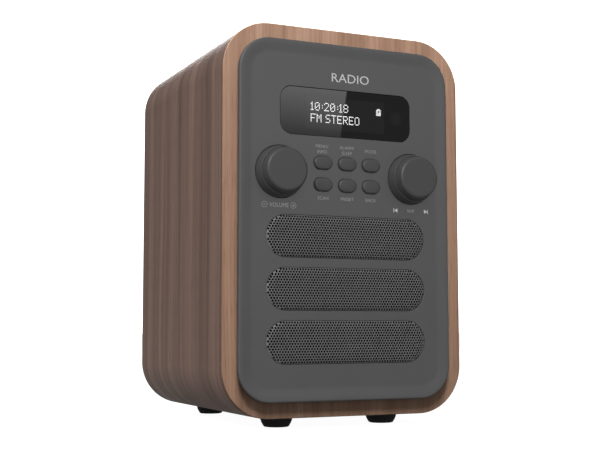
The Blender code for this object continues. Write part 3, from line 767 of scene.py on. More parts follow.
@dataclass
class Cabinet(Assembly):
    """The veneered sleeve, the facing on its front edge, and the blocks that take the back's screws."""

    corner: float = 21.4
    wall: float = 9.0
    facing_width: float = 10.0
    edge: float = 0.3
    back_edge: float = 0.9
    block: tuple[float, float, float] = (12.0, 18.0, 14.0)

    def outline(self, steps: int = 24) -> Outline:
        """The cabinet's outside, seen from the front."""
        return Outline(self.layout.width, self.layout.height, self.corner, (0, self.layout.height / 2), steps)

    def build(self) -> None:
        """Makes the cabinet's pieces."""
        outside = self.outline()
        front = self.face.box("cabinet_sleeve")[1].z
        back = -self.layout.depth
        shell = Shell()
        steps = [(grow, -level) for grow, level in round_over(self.back_edge, -back)][::-1]
        steps += round_over(self.edge, front, steps=3)
        steps += [(-self.wall, front), (-self.wall, back + self.edge), (-self.wall + self.edge, back)]
        shell.wall(shell.rings(outside, steps), closed=True)
        self.add("cabinet_sleeve_veneered", shell.mesh(self.face.matrix), SIDE_VENEER, "cabinet_sleeve")
        shell = Shell()
        low = self.face.box("front_facing")[0].z
        steps = [(-self.facing_width, low), (-self.edge, low), (0, low + self.edge)]
        steps += round_over(self.edge, 0.0, steps=3)
        steps += [(-self.facing_width, 0.0)]
        shell.wall(shell.rings(outside, steps), closed=True)
        self.add("front_facing_veneered", shell.mesh(self.face.matrix), FRONT_VENEER, "front_facing")
        self.build_blocks()

    def build_blocks(self) -> None:
        """Makes the four screw blocks glued inside the sleeve."""
        blocks = []
        wide, tall, deep = self.block
        top = self.rear.box("back_panel")[0].z - self.edge
        for side in ("left", "right"):
            for level in ("lower", "upper"):
                x, y = self.rear.centre(f"back_screw_{level}_{side}")
                outer = math.copysign(self.layout.width / 2 - self.wall, x)
                inner = outer - math.copysign(wide, x)
                blocks.append(box_mesh((min(inner, outer), y - tall / 2, top - deep),
                                       (max(inner, outer), y + tall / 2, top)))
        mesh = finished(joined(blocks), self.rear.matrix, bevel=0.6)
        self.add("screw_blocks", mesh, FIBREBOARD)


@dataclass
class FrontPanel(Assembly):
    """The grey moulding with its openings, and the words printed on it."""

    corner: float = 14.7
    edge: float = 0.8
    border: float = 6.6
    dish: float = 0.6  # how far the face lies below its border
    opening_edge: float = 0.15
    skin: float = 1.2
    lip_inset: float = 3.6
    lip_wall: float = 1.6
    window: Outline = Outline(64.4, 21.3, 5.5)
    slot: Outline = pill(77.4, 18.6, steps=24)
    knob_hole: Outline = disc(11.6, steps=24)
    button_hole: Outline = pill(9.0, 6.2)
    post_inset: float = 3.5
    post_levels: tuple[float, float] = (26.0, 2.0)  # below the front board's top
    print_height: float = 0.03
    small: float = 1.45
    medium: float = 1.85
    large: float = 3.9
    line_gap: float = 2.4
    labels_above: tuple[float, float] = (4.9, 6.4)  # of two lines, and of one
    labels_below: float = 5.9
    knob_words_below: float = 14.4
    volume_width: float = 9.0
    volume_signs: tuple[tuple[str, float], ...] = (("-", -7.35), ("+", 6.15))
    skip_reach: float = 7.8
    heading: tuple[float, float, float] = (1.9, 16.1, 18.5)  # its x, its height over the window, its width

    def moved(self, outline: Outline, centre: Point) -> Outline:
        """The same outline about another centre."""
        return Outline(outline.width, outline.height, outline.radius, centre, outline.steps)

    def openings(self) -> list[Outline]:
        """Every opening in the panel's face."""
        centre = self.face.centre
        found = [self.moved(self.window, centre("display_window"))]
        found += [self.moved(self.knob_hole, centre(f"{name}_knob")) for name in Knobs.NAMES]
        found += [self.moved(self.button_hole, centre(f"{name}_button")) for name in Buttons.NAMES]
        found += [self.moved(self.slot, centre(f"grille_{name}")) for name in Grilles.NAMES]
        return found

    def build(self) -> None:
        """Makes the panel and its print."""
        low, high = self.face.box("front_panel")
        top = high.z - self.dish
        back = top - self.skin
        size = (high.x - low.x, high.y - low.y)
        centre = (0.0, self.layout.height / 2)
        outside = Outline(*size, self.corner, centre, 24)
        shell = Shell()
        steps = [(-self.lip_inset - self.lip_wall, back), (-self.lip_inset - self.lip_wall, low.z)]
        steps += [(-self.lip_inset, low.z), (-self.lip_inset, back), (0.0, back)]
        steps += round_over(self.edge, high.z, steps=8)
        for share in (0.06, 0.12, 0.2, 0.3, 0.5, 0.7, 0.8, 0.88, 0.94, 1.0):
            eased = share * share * (3 - 2 * share)
            drop = self.dish * eased
            steps.append((-self.edge - (self.border - self.edge) * share, high.z - drop))
        around = [(0.0, back), *round_over(self.opening_edge, top, side=1, steps=4)]
        shell.plate(outside, steps, self.openings(), around)
        self.add("front_panel_moulding", shell.mesh(self.face.matrix), PANEL_GREY, "front_panel")
        self.build_posts(low.z, back)
        self.build_print(top)

    def build_posts(self, lip: float, back: float) -> None:
        """Makes the posts behind the panel that the front board is screwed to."""
        low, high = self.face.box("front_board")
        posts = []
        for x in (low.x + self.post_inset, high.x - self.post_inset):
            for y in (high.y - below for below in self.post_levels):
                profile = [(1.1, high.z + 0.3), (2.6, high.z + 0.3), (2.8, back), (1.1, back)]
                posts.append(turned(profile, 32, self.face.at(x, y)))
        self.add("panel_posts", joined(posts), PANEL_GREY)

    def build_print(self, top: float) -> None:
        """Prints the words and signs, each at its place on the panel's face."""
        small = self.small
        columns = [self.face.centre(f"{name}_button")[0] for name in Buttons.NAMES[:3]]
        upper = self.face.centre("menu_button")[1]
        above = upper + self.labels_above[0]
        over = above + self.line_gap
        below = self.face.centre("scan_button")[1] - self.labels_below
        left, knob_level = self.face.centre("volume_knob")
        right = self.face.centre("tuning_knob")[0]
        foot = knob_level - self.knob_words_below
        first = columns[0] - 0.4
        words = [("MENU/", first, over), ("INFO", first, above)]
        words += [("ALARM/", columns[1], over), ("SLEEP", columns[1], above)]
        words += [("MODE", columns[2], upper + self.labels_above[1])]
        words += [(word, x, below) for x, word in zip(columns, ("SCAN", "PRESET", "BACK"))]
        words.append(("SKIP", right, foot))
        place = self.face.at(0, 0, top)
        thick = self.print_height
        meshes = [lettering(word, (x, y), small, thick, place) for word, x, y in words]
        middle = (left - 0.6, foot)
        meshes.append(lettering("VOLUME", middle, self.medium, thick, place, width=self.volume_width))
        meshes += [self.circled(sign, left + x, foot, place) for sign, x in self.volume_signs]
        self.add("panel_print", joined(meshes), PRINT)
        x, rise, width = self.heading
        middle = (x, self.face.centre("display_window")[1] + rise)
        title = lettering("RADIO", middle, self.large, thick, place, width=width)
        self.add("heading_print", title, BRIGHT_PRINT)
        arrows = [self.skip_sign(right + side * self.skip_reach, foot, side, place) for side in (-1, 1)]
        self.add("skip_print", joined(arrows), BRIGHT_PRINT)

    def circled(self, sign: str, x: float, y: float, place: Matrix) -> Mesh:
        """A minus or a plus in a ring."""
        shell = Shell()
        high = self.print_height
        shell.lathe([(1.15, 0), (1.35, 0), (1.35, high), (1.15, high)], 40)
        shell.stack([(Outline(1.4, 0.24, 0.05, steps=2).loop(), level) for level in (0.0, high)])
        if sign == "+":
            shell.stack([(Outline(0.24, 1.4, 0.05, steps=2).loop(), level) for level in (0.0, high + 0.004)])
        return shell.mesh(place @ Matrix.Translation((x * MM, y * MM, 0)))

    def skip_sign(self, x: float, y: float, side: int, place: Matrix) -> Mesh:
        """A triangle against a bar."""
        shell = Shell()
        high = self.print_height
        wedge = [(-0.9, -0.95), (0.75, 0.0), (-0.9, 0.95)]
        turned = [(side * px, py) for px, py in wedge]
        shell.stack([(turned, 0.0), (turned, high)])
        bar = [(side * px, py) for px, py in ((0.8, -0.95), (1.15, -0.95), (1.15, 0.95), (0.8, 0.95))]
        shell.stack([(bar, 0.0), (bar, high)])
        return shell.mesh(place @ Matrix.Translation((x * MM, y * MM, 0)))


def lettering(
    words: str, centre: Point, tall: float, thick: float, place: Matrix, width: float = 0.0
) -> Mesh:
    """Words as thin raised print.

    Args:
        words: What to print, in capitals.
        centre: The middle of the words.
        tall: The height of the capitals.
        thick: How far the print stands off its surface.
        place: Takes the surface's layout to its place in the radio.
        width: The words' whole width, or 0 for the width that suits their height.

    Returns:
        The mesh in its place.
    """
    curve = bpy.data.curves.new("words", "FONT")
    curve.body = words
    curve.size = 10.0
    curve.extrude = 0.5
    curve.resolution_u = 3
    bearer = placed("words", curve)
    mesh = evaluated_mesh(bearer)
    bpy.data.curves.remove(curve)
    places = [vertex.co for vertex in mesh.vertices]
    low = Vector(min(p[axis] for p in places) for axis in range(3))
    high = Vector(max(p[axis] for p in places) for axis in range(3))
    up = tall / (high.y - low.y)
    across = width / (high.x - low.x) if width else up
    middle = (low + high) / 2
    fit = Matrix.Diagonal((across, up, thick / (high.z - low.z), 1.0))
    home = Matrix.Translation((centre[0], centre[1], thick / 2)) @ fit @ Matrix.Translation(-middle)
    mesh.transform(place @ Matrix.Scale(MM, 4) @ home)
    return mesh


@dataclass
class Display(Assembly):
    """The glazing and the lit dots behind it."""

    gap: float = 0.3
    show_gap: float = 0.07  # between the glazing and its opening
    flange: float = 1.5
    edge: float = 0.2
    lit_area: tuple[float, float, float, float] = (-19.6, 18.9, -7.5, 6.8)
    dot_pitch: tuple[float, float] = (0.48, 0.543)
    clock_pitch: float = 0.5
    dot_size: tuple[float, float] = (0.29, 0.37)
    stand_off: float = 0.02
    top_line: str = "10:20:18"
    bottom_line: str = "FM STEREO"
    text_left: float = -17.6
    line_tops: tuple[float, float] = (4.45, -0.75)
    sign_corner: Point = (14.9, 3.85)

    def build(self) -> None:
        """Makes the window and what it shows."""
        low, high = self.face.box("display_window")
        centre = self.face.centre("display_window")
        inset = self.flange + self.gap
        size = (high.x - low.x - 2 * inset, high.y - low.y - 2 * inset)
        seat = Outline(*size, FrontPanel.window.radius - self.gap, centre)
        shell = Shell()
        grow = self.gap - self.show_gap
        steps = [(inset, low.z), (inset, 0.0), (grow, 0.0)]
        steps += [(grow + fall, level) for fall, level in round_over(self.edge, high.z, steps=4)]
        shell.solid(shell.rings(seat, steps))
        left, right, under, over = self.lit_area
        ends = ((left, under), (right, over))
        corners = [self.face.at(x, centre[1] + y).translation for x, y in ends]
        sensor = self.face.at(*self.face.centre("remote_sensor")).translation
        glazing = SmokedWindow("smoked_window", "window_black", corners[0], corners[1], sensor, 0.0029)
        self.add("display_glazing", shell.mesh(self.face.matrix), glazing, "display_window")
        dots: list[Point] = []
        pitches = (self.clock_pitch, self.dot_pitch[0])
        for line, top, pitch in zip((self.top_line, self.bottom_line), self.line_tops, pitches):
            dots += self.written(line, self.text_left, centre[1] + top, pitch)
        left, top = self.sign_corner
        dots += self.drawn(BATTERY_SIGN, left, centre[1] + top, self.dot_pitch[0])
        level = high.z + self.stand_off / 2
        mesh = DotMatrix(self.dot_size, self.stand_off).mesh(dots, level, self.face.matrix)
        self.add("display_dots", mesh, DISPLAY_DOTS)

    def written(self, line: str, left: float, top: float, across: float) -> list[Point]:
        """The dots of one line of text, that far apart across."""
        dots = []
        for character in line:
            rows = GLYPHS[character]
            dots += self.drawn(rows, left, top, across)
            left += (len(rows[0]) + 1) * across
        return dots

    def drawn(self, rows: Sequence[str], left: float, top: float, across: float) -> list[Point]:
        """The dots of one sign, whose rows are words of # and spaces."""
        down = self.dot_pitch[1]
        dots = []
        for row, pattern in enumerate(rows):
            for column, mark in enumerate(pattern):
                if mark == "#":
                    dots.append((left + (column + 0.5) * across, top - (row + 0.5) * down))
        return dots


GLYPHS: dict[str, tuple[str, ...]] = {
    "0": (" ### ", "#   #", "#  ##", "# # #", "##  #", "#   #", " ### "),
    "1": (" # ", "## ", " # ", " # ", " # ", " # ", "###"),
    "2": (" ### ", "#   #", "    #", "   # ", "  #  ", " #   ", "#####"),
    "8": (" ### ", "#   #", "#   #", " ### ", "#   #", "#   #", " ### "),
    ":": ("  ", "  ", " #", "  ", " #", "  ", "  "),
    " ": ("  ", "  ", "  ", "  ", "  ", "  ", "  "),
    "E": ("#####", "#    ", "#    ", "#### ", "#    ", "#    ", "#####"),
    "F": ("#####", "#    ", "#    ", "#### ", "#    ", "#    ", "#    "),
    "M": ("#   #", "## ##", "# # #", "# # #", "#   #", "#   #", "#   #"),
    "O": (" ### ", "#   #", "#   #", "#   #", "#   #", "#   #", " ### "),
    "R": ("#### ", "#   #", "#   #", "#### ", "# #  ", "#  # ", "#   #"),
    "S": (" ####", "#    ", "#    ", " ### ", "    #", "    #", "#### "),
    "T": ("#####", "  #  ", "  #  ", "  #  ", "  #  ", "  #  ", "  #  "),
}
BATTERY_SIGN = (" ### ", "#####", "## ##", "#####", "#####", "#####")


class GeometryTree:
    """A Geometry Nodes tree with named inputs for its sizes."""

    def __init__(self, name: str, sizes: dict[str, float]) -> None:
        """Starts a tree that takes a geometry and these sizes, each with its default."""
        self.tree = bpy.data.node_groups.new(name, "GeometryNodeTree")
        interface = self.tree.interface
        interface.new_socket("Geometry", in_out="INPUT", socket_type="NodeSocketGeometry")
        self.sizes = sizes
        for label, value in sizes.items():
            socket = interface.new_socket(label, in_out="INPUT", socket_type="NodeSocketFloat")
            socket.default_value = value
        interface.new_socket("Geometry", in_out="OUTPUT", socket_type="NodeSocketGeometry")
        self.sheet = NodeSheet(self.tree)
        self.start = self.sheet.node("NodeGroupInput")

    def size(self, label: str) -> Socket:
        """The socket of a named size."""
        return self.start.outputs[label]

    def close(self, points: Node, one: Node, material: bpy.types.Material) -> None:
        """Ends the tree: puts one of a shape at each point, realises them and gives them a material."""
        inputs = {"Points": points.outputs[0], "Instance": one.outputs[0]}
        spread = self.sheet.node("GeometryNodeInstanceOnPoints", inputs)
        real = self.sheet.node("GeometryNodeRealizeInstances", {0: spread.outputs[0]})
        inputs = {"Geometry": real.outputs[0], "Material": material}
        dressed = self.sheet.node("GeometryNodeSetMaterial", inputs)
        self.sheet.node("NodeGroupOutput", {0: dressed.outputs[0]})

    def run(self, start: Mesh) -> Mesh:
        """The plain mesh that the tree makes from a starting mesh, which is used up."""
        bearer = placed("bearer", start)
        modifier = bearer.modifiers.new("nodes", "NODES")
        modifier.node_group = self.tree
        for item in self.tree.interface.items_tree:
            if item.in_out == "INPUT" and item.name in self.sizes:
                modifier[item.identifier] = float(self.sizes[item.name])
        return evaluated_mesh(bearer)


@dataclass(frozen=True)
class DotMatrix:
    """Small square dots, one at each point."""

    size: tuple[float, float]
    thick: float

    def mesh(self, dots: Sequence[Point], level: float, place: Matrix) -> Mesh:
        """Places a dot at each point and returns them as one mesh in its place in the radio."""
        start = bpy.data.meshes.new("points")
        start.from_pydata([(x, y, level) for x, y in dots], [], [])
        made = GeometryTree("dot_matrix", {"Across": self.size[0], "Up": self.size[1], "Thick": self.thick})
        sheet = made.sheet
        size = sheet.joined(*(made.size(label) for label in ("Across", "Up", "Thick")))
        dot = sheet.node("GeometryNodeMeshCube", {"Size": size})
        points = sheet.node("GeometryNodeMeshToPoints", {"Mesh": made.start.outputs[0]})
        made.close(points, dot, DISPLAY_DOTS.material())
        mesh = made.run(start)
        mesh.transform(place @ Matrix.Scale(MM, 4))
        return mesh


@dataclass(frozen=True)
class Perforation:
    """Round punches in rows, each row half a pitch along from the last, inside a pill."""

    pitch: float = 1.30
    row_pitch: float = 1.125
    hole: float = 0.56
    deep: float = 8.0
    sides: int = 8

    def punches(self, outline: Outline, margin: float, level: float) -> Mesh:
        """The punches as one mesh, in millimetres about the outline's centre.

        Args:
            outline: The pill that they fill.
            margin: How far inside the pill the outermost centres may lie.
            level: The level of the punches' middles.

        Returns:
            The mesh that cuts the holes.
        """
        sizes = {"Pitch": self.pitch, "Row Pitch": self.row_pitch}
        sizes |= {"Hole Radius": self.hole, "Depth": self.deep, "Level": level}
        sizes |= {"Reach": outline.height / 2 - margin}
        sizes |= {"Half Bar": (outline.width - outline.height) / 2}
        made = GeometryTree("perforation", sizes)
        sheet = made.sheet
        columns = 2 * math.ceil(outline.width / self.pitch / 2) + 3
        rows = 2 * math.ceil(outline.height / self.row_pitch / 2) + 2
        wide = sheet.maths("MULTIPLY", made.size("Pitch"), float(columns - 1))
        tall = sheet.maths("MULTIPLY", made.size("Row Pitch"), float(rows - 1))
        sizes_in = {"Size X": wide, "Size Y": tall, "Vertices X": columns, "Vertices Y": rows}
        grid = sheet.node("GeometryNodeMeshGrid", sizes_in)
        start = sheet.split(sheet.node("GeometryNodeInputPosition").outputs[0])
        above = sheet.maths("ADD", start[1], sheet.maths("DIVIDE", tall, 2.0))
        row = sheet.maths("DIVIDE", above, made.size("Row Pitch"))
        odd = sheet.maths("MODULO", sheet.maths("ROUND", row), 2.0)
        half = sheet.maths("MULTIPLY", odd, sheet.maths("DIVIDE", made.size("Pitch"), 2.0))
        inputs = {"Geometry": grid.outputs[0], "Offset": sheet.joined(half, 0.0, made.size("Level"))}
        moved = sheet.node("GeometryNodeSetPosition", inputs)
        spot = sheet.split(sheet.node("GeometryNodeInputPosition").outputs[0])
        beyond = sheet.maths("SUBTRACT", sheet.maths("ABSOLUTE", spot[0]), made.size("Half Bar"))
        beyond = sheet.maths("MAXIMUM", beyond, 0.0)
        squares = [sheet.maths("MULTIPLY", side, side) for side in (beyond, spot[1])]
        reach = sheet.maths("SQRT", sheet.maths("ADD", *squares))
        inside = sheet.node(
            "FunctionNodeCompare", {0: reach, 1: made.size("Reach")}, data_type="FLOAT", operation="LESS_THAN"
        )
        tool = sheet.node(
            "GeometryNodeMeshCylinder",
            {"Vertices": self.sides, "Radius": made.size("Hole Radius"), "Depth": made.size("Depth")},
        )
        inputs = {"Mesh": moved.outputs[0], "Selection": inside.outputs[0]}
        points = sheet.node("GeometryNodeMeshToPoints", inputs)
        made.close(points, tool, GRILLE_PAINT.material())
        return made.run(bpy.data.meshes.new("start"))


@dataclass
class Grilles(Assembly):
    """Three pillows of perforated sheet."""

    NAMES = ("upper", "middle", "lower")
    sheet: float = 0.28
    flange: float = 1.6
    shoulder: Point = (3.6, 1.15)
    proud: float = 0.45
    margin: float = 0.3
    gap: float = 0.08

    def build(self) -> None:
        """Makes each grille in its slot."""
        for name in self.NAMES:
            low, high = self.face.box(f"grille_{name}")
            x, y = self.face.centre(f"grille_{name}")
            slot = FrontPanel.slot
            outline = pill(slot.width - 2 * self.gap, slot.height - 2 * self.gap, steps=16)
            raw = self.pressed(outline, low.z, high.z + self.proud)
            punches = Perforation().punches(outline, self.margin, high.z - 1.0)
            place = self.face.at(x, y)
            mesh = finished(carved(raw, punches), place)
            self.add(f"grille_{name}_perforated", mesh, GRILLE_PAINT, f"grille_{name}")

    def pressed(self, outline: Outline, low: float, top: float) -> Mesh:
        """The sheet before it is punched: a flange, a short wall and a low pillow.

        Args:
            outline: The pillow's outline.
            low: The level of the flange's back.
            top: The level of the pillow's crown.

        Returns:
            The mesh in millimetres about the outline's centre.
        """
        shell = Shell()
        outside = [(self.flange, low + self.sheet), (0.0, low + self.sheet)]
        inside = [(self.flange, low), (-self.sheet, low)]
        across, rise = self.shoulder
        for i in range(9):
            a = math.pi / 2 * i / 8
            grow = -across * (1 - math.cos(a))
            level = top - rise * (1 - math.sin(a))
            outside.append((grow, level))
            inside.append((grow - self.sheet * math.cos(a), level - self.sheet))
        rings = [shell.rings(outline, steps) for steps in (outside, inside)]
        shell.solid([*reversed(rings[0]), *rings[1]])
        return shell.raw()


@dataclass
class Knobs(Assembly):
    """The two turning knobs, each pressed on its shaft."""

    NAMES = ("volume", "tuning")
    skirt: float = 11.4
    skirt_crown: float = 10.5
    panel: float = 1.5
    skirt_top: float = 5.7
    groove: tuple[float, float] = (0.15, 0.3)
    body: float = 10.0
    tip: float = 9.45
    shoulder: float = 1.2
    bore: float = 3.25
    hub: float = 5.2
    ceiling: float = 7.9

    def build(self) -> None:
        """Makes each knob about its own axis."""
        for name in self.NAMES:
            low, high = self.face.box(f"{name}_knob")
            x, y = self.face.centre(f"{name}_knob")
            mesh = turned(self.profile(low.z, high.z), 128, self.face.at(x, y))
            knob = f"{name}_knob"
            self.add(f"{knob}_moulding", mesh, KNOB_GREY, knob, body=knob)

    def profile(self, back: float, top: float) -> list[Point]:
        """The knob's section from the middle of its face round to the bottom of its bore."""
        small = 0.25
        wide, deep = self.groove
        points: list[Point] = [(0.0, top), (self.tip - self.shoulder - 0.25, top)]
        points += [(self.tip + grow, level) for grow, level in round_over(self.shoulder, top, steps=8)][::-1]
        points += [(self.body, self.skirt_top), (self.body, self.skirt_top - deep)]
        points += [(self.body + wide, self.skirt_top - deep), (self.body + wide, self.skirt_top)]
        crown = round_over(small, self.skirt_top, steps=5)
        points += [(self.skirt_crown + grow, level) for grow, level in reversed(crown)]
        points += [(self.skirt, self.panel), (self.skirt, back)]
        points += [(9.2, back), (8.7, self.ceiling), (self.hub, self.ceiling)]
        points += [(self.hub, back + 1.2), (self.bore, back + 1.2), (self.bore, self.ceiling + 0.4)]
        return [*points, (0.0, self.ceiling + 0.4)]


@dataclass
class Buttons(Assembly):
    """The six push buttons."""

    NAMES = ("menu", "alarm", "mode", "scan", "preset", "back")
    cap: Outline = pill(8.75, 5.95)
    flange: float = 0.95
    flange_levels: tuple[float, float] = (-1.3, -0.1)
    stem: float = 1.4
    edge: float = 0.75

    def build(self) -> None:
        """Makes each button's cap, flange and stem."""
        under, over = self.flange_levels
        for name in self.NAMES:
            low, high = self.face.box(f"{name}_button")
            x, y = self.face.centre(f"{name}_button")
            shell = Shell()
            dome = [(grow, level - 0.08) for grow, level in round_over(self.edge, high.z, steps=6)]
            dome += [(-1.6, high.z - 0.03), (-2.4, high.z)]
            stem = disc(self.stem, steps=self.cap.steps).loop()
            rings = [shell.ring(stem, level) for level in (low.z, under)]
            flange = [(self.flange, under), (self.flange, over), (0.0, over)]
            rings += shell.rings(self.cap, [*flange, *dome])
            shell.solid(rings)
            place = self.face.at(x, y)
            button = f"{name}_button"
            self.add(f"{button}_cap", shell.mesh(place), KNOB_GREY, button, body=button)


@dataclass
class Feet(Assembly):
    """Four turned rubber feet with their pegs."""

    NAMES = ("front_left", "front_right", "rear_left", "rear_right")

    def build(self) -> None:
        """Makes each foot where its node stands."""
        for name in self.NAMES:
            low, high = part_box(f"foot_{name}")
            middle = (low + high) / 2
            ledge = 4.4
            tall = (high.z - low.z) / MM
            profile = [(0.0, 0.0), (5.0, 0.0), (5.35, 0.08), (5.65, 0.35), (6.55, 1.9), (6.9, 2.9)]
            profile += [(7.05, 3.6), (7.1, ledge - 0.25), (6.95, ledge), (2.2, ledge)]
            profile += [(2.2, tall - 0.6), (1.6, tall), (0.0, tall)]
            mesh = turned(profile, 72, Matrix.Translation((middle.x, middle.y, low.z)))
            self.add(f"foot_{name}_rubber", mesh, FOOT_RUBBER, f"foot_{name}")


@dataclass
class Back(Assembly):
    """The back panel, its screws and sockets, and its print."""

    SCREWS = ("lower_left", "lower_right", "upper_left", "upper_right")
    corner: float = 12.1
    screw_hole: Outline = disc(1.8, steps=8)
    aerial_hole: Outline = disc(3.4, steps=12)
    socket_hole: Outline = disc(3.5, steps=12)
    power_hole: Outline = Outline(10.0, 4.2, 1.6, steps=6)
    edge: float = 0.25
    label: tuple[float, float, float] = (7.5, 1.9, 0.03)  # height over its socket, size, thickness

    def build(self) -> None:
        """Makes the back's pieces."""
        low, high = self.rear.box("back_panel")
        centre = (0.0, self.layout.height / 2)
        outside = Outline(high.x - low.x, high.y - low.y, self.corner, centre, 16)
        move = FrontPanel(self.layout).moved
        middle = self.rear.centre
        holes = [move(self.screw_hole, middle(f"back_screw_{name}")) for name in self.SCREWS]
        aerial = self.rear.centre("aerial_base")
        holes += [move(self.aerial_hole, aerial), move(self.power_hole, middle("power_socket"))]
        holes += [move(self.socket_hole, middle(f"{name}_socket")) for name in ("aux", "phones")]
        shell = Shell()
        steps = [(0.0, low.z), *round_over(self.edge, high.z, steps=3)]
        around = [(0.0, low.z), *round_over(self.edge, high.z, side=1, steps=3)]
        shell.plate(outside, steps, holes, around)
        self.add("back_panel_moulding", shell.mesh(self.rear.matrix), BACK_PLASTIC, "back_panel")
        self.build_screws()
        self.build_sockets()
        self.build_print(high.z)

    def build_screws(self) -> None:
        """Makes the four cross-headed screws."""
        meshes = []
        for name in self.SCREWS:
            low, high = self.rear.box(f"back_screw_{name}")
            x, y = self.rear.centre(f"back_screw_{name}")
            shell = Shell()
            top = high.z
            head = [(0.0, top), (1.2, top - 0.05), (2.1, top - 0.3), (2.7, top - 0.75), (3.0, top - 1.2)]
            head += [(2.95, top - 1.4), (1.4, top - 1.4), (1.4, low.z + 1.5), (0.0, low.z)]
            shell.lathe(head, 48)
            raw = shell.raw()
            for half in ((1.9, 0.38, 1.0), (0.38, 1.9, 1.0)):
                cutter = box_mesh((-half[0], -half[1], top - half[2]), (half[0], half[1], top + 1.0))
                raw = carved(raw, cutter)
            meshes.append(finished(raw, self.rear.at(x, y)))
        nodes = [f"back_screw_{name}" for name in self.SCREWS]
        self.add("back_screws", joined(meshes), PLATED_STEEL, *nodes)

    def build_sockets(self) -> None:
        """Makes the two round sockets."""
        for name in ("aux", "phones"):
            low, high = self.rear.box(f"{name}_socket")
            x, y = self.rear.centre(f"{name}_socket")
            top = high.z
            profile = [(1.85, top - 0.25), (2.1, top), (3.0, top), (3.2, top - 0.2), (3.2, top - 3.5)]
            profile += [(5.4, top - 3.5), (5.4, low.z), (1.85, low.z)]
            mesh = turned(profile, 64, self.rear.at(x, y))
            self.add(f"{name}_socket_moulding", mesh, DARK_PLASTIC, f"{name}_socket")

    def build_print(self, top: float) -> None:
        """Prints the sockets' names."""
        place = self.rear.at(0, 0, top)
        rise, tall, thick = self.label
        meshes = []
        for name in ("aux", "phones", "power"):
            x, y = self.rear.centre(f"{name}_socket")
            meshes.append(lettering(name.upper(), (x, y + rise), tall, thick, place))
        self.add("back_print", joined(meshes), BACK_PRINT)


@dataclass
class Aerial(Assembly):
    """The folding telescopic aerial."""

    pivot_height: float = 5.5
    ear: tuple[float, float] = (3.4, 2.2)  # its middle's distance from the rod's axis, and its thickness
    ear_radius: float = 3.4
    tongue: tuple[float, float] = (3.2, 4.0)  # its radius and its thickness

    def build(self) -> None:
        """Makes the base, the elbow, the tubes and the tip."""
        x, y = self.rear.centre("aerial_base")
        base = self.rear.at(x, y)
        rod = self.rear.at(x, y, self.pivot_height) @ Matrix.Rotation(math.pi / 2, 4, "X")
        self.build_base(base)
        self.build_elbow(rod)
        self.build_sections(rod)

    def build_base(self, place: Matrix) -> None:
        """Makes the turning base with its fork and pin."""
        stem = [(0, -9), (2.9, -9), (2.9, -1.7)]
        flange = [(6.5, -1.7), (6.5, 0.1), (6.35, 0.5), (5.9, 0.85), (5.3, 1.0), (0, 1.0)]
        meshes = [turned([*stem, *flange], 96, place)]
        for side in (-1, 1):
            middle, thick = side * self.ear[0], self.ear[1]
            wide = self.ear_radius
            loop = [(-wide, 0.6), (wide, 0.6)]
            loop += [(wide * math.cos(a), self.pivot_height + wide * math.sin(a)) for a in half_turn()]
            meshes.append(cheek(loop, middle - thick / 2, middle + thick / 2, place))
        head = [(1.0, 4.3), (1.8, 4.3), (1.8, 4.6), (1.5, 4.9), (0, 4.9)]
        profile = [*((radius, -level) for radius, level in reversed(head)), *head]
        pin = place @ Matrix.Translation((0, 0, self.pivot_height * MM)) @ ON_ITS_SIDE
        meshes.append(turned(profile, 48, pin))
        self.add("aerial_base_fork", joined(meshes), AERIAL_CHROME, "aerial_base", body="aerial_base")

    def build_elbow(self, place: Matrix) -> None:
        """Makes the elbow's tongue and the collar that holds the first tube."""
        radius, thick = self.tongue
        bore = 1.3
        collar = [(0, 4.7), (3.2, 4.7), (3.8, 4.95), (4.0, 5.4), (4.0, 10.6)]
        collar += [(3.8, 11.0), (3.5, 11.0), (3.5, 6.6), (0, 6.6)]
        loop = [(radius * math.cos(a), -radius * math.sin(a)) for a in half_turn()]
        loop += [(-radius, 5.2), (radius, 5.2)]
        tongue = cheek(loop, -thick / 2, thick / 2, Matrix.Identity(4), bevel=0.2)
        tongue.transform(Matrix.Scale(1 / MM, 4))
        drill = turned([(0, -4), (bore, -4), (bore, 4), (0, 4)], 32, ON_ITS_SIDE)
        drill.transform(Matrix.Scale(1 / MM, 4))
        drilled = finished(carved(tongue, drill), place)
        mesh = joined([turned(collar, 96, place), drilled])
        self.add("aerial_elbow_collar", mesh, AERIAL_CHROME, "aerial_elbow", body="aerial_rod")

    def build_sections(self, place: Matrix) -> None:
        """Makes the three tubes, each with a rolled end, and the rod with its tip."""
        tubes = ((3.2, 2.85, 6.9, 125.0, "aerial_rod"), (2.6, 2.25, 12.0, 125.4, "aerial_section_2"))
        tubes += ((2.0, 1.65, 14.0, 125.8, "aerial_section_3"),)
        for number, (outer, inner, start, end, body) in enumerate(tubes, 1):
            neck = outer - 0.12
            rolled = [(outer, end - 1.6), (neck, end - 1.3), (neck, end - 1.0), (outer, end - 0.7)]
            lip = [(outer, end - 0.15), (outer - 0.15, end), (inner, end)]
            mesh = turned([(inner, start), (outer, start), *rolled, *lip], 64, place)
            tube = f"aerial_tube_{number}"
            self.add(f"{tube}_drawn", mesh, AERIAL_CHROME, tube, body=body)
        tip = [(0, 16), (1.4, 16), (1.4, 126.3), (2.7, 126.3), (3.05, 126.5), (3.2, 126.9), (3.2, 129.3)]
        tip += [(3.0, 130.2), (2.4, 130.9), (1.5, 131.2), (0, 131.3)]
        mesh = turned(tip, 64, place)
        self.add("aerial_tip_button", mesh, AERIAL_CHROME, "aerial_tip_rod", body="aerial_tip")


def half_turn(steps: int = 24) -> list[float]:
    """Angles from 0 to half a turn."""
    return [math.pi * i / steps for i in range(steps + 1)]


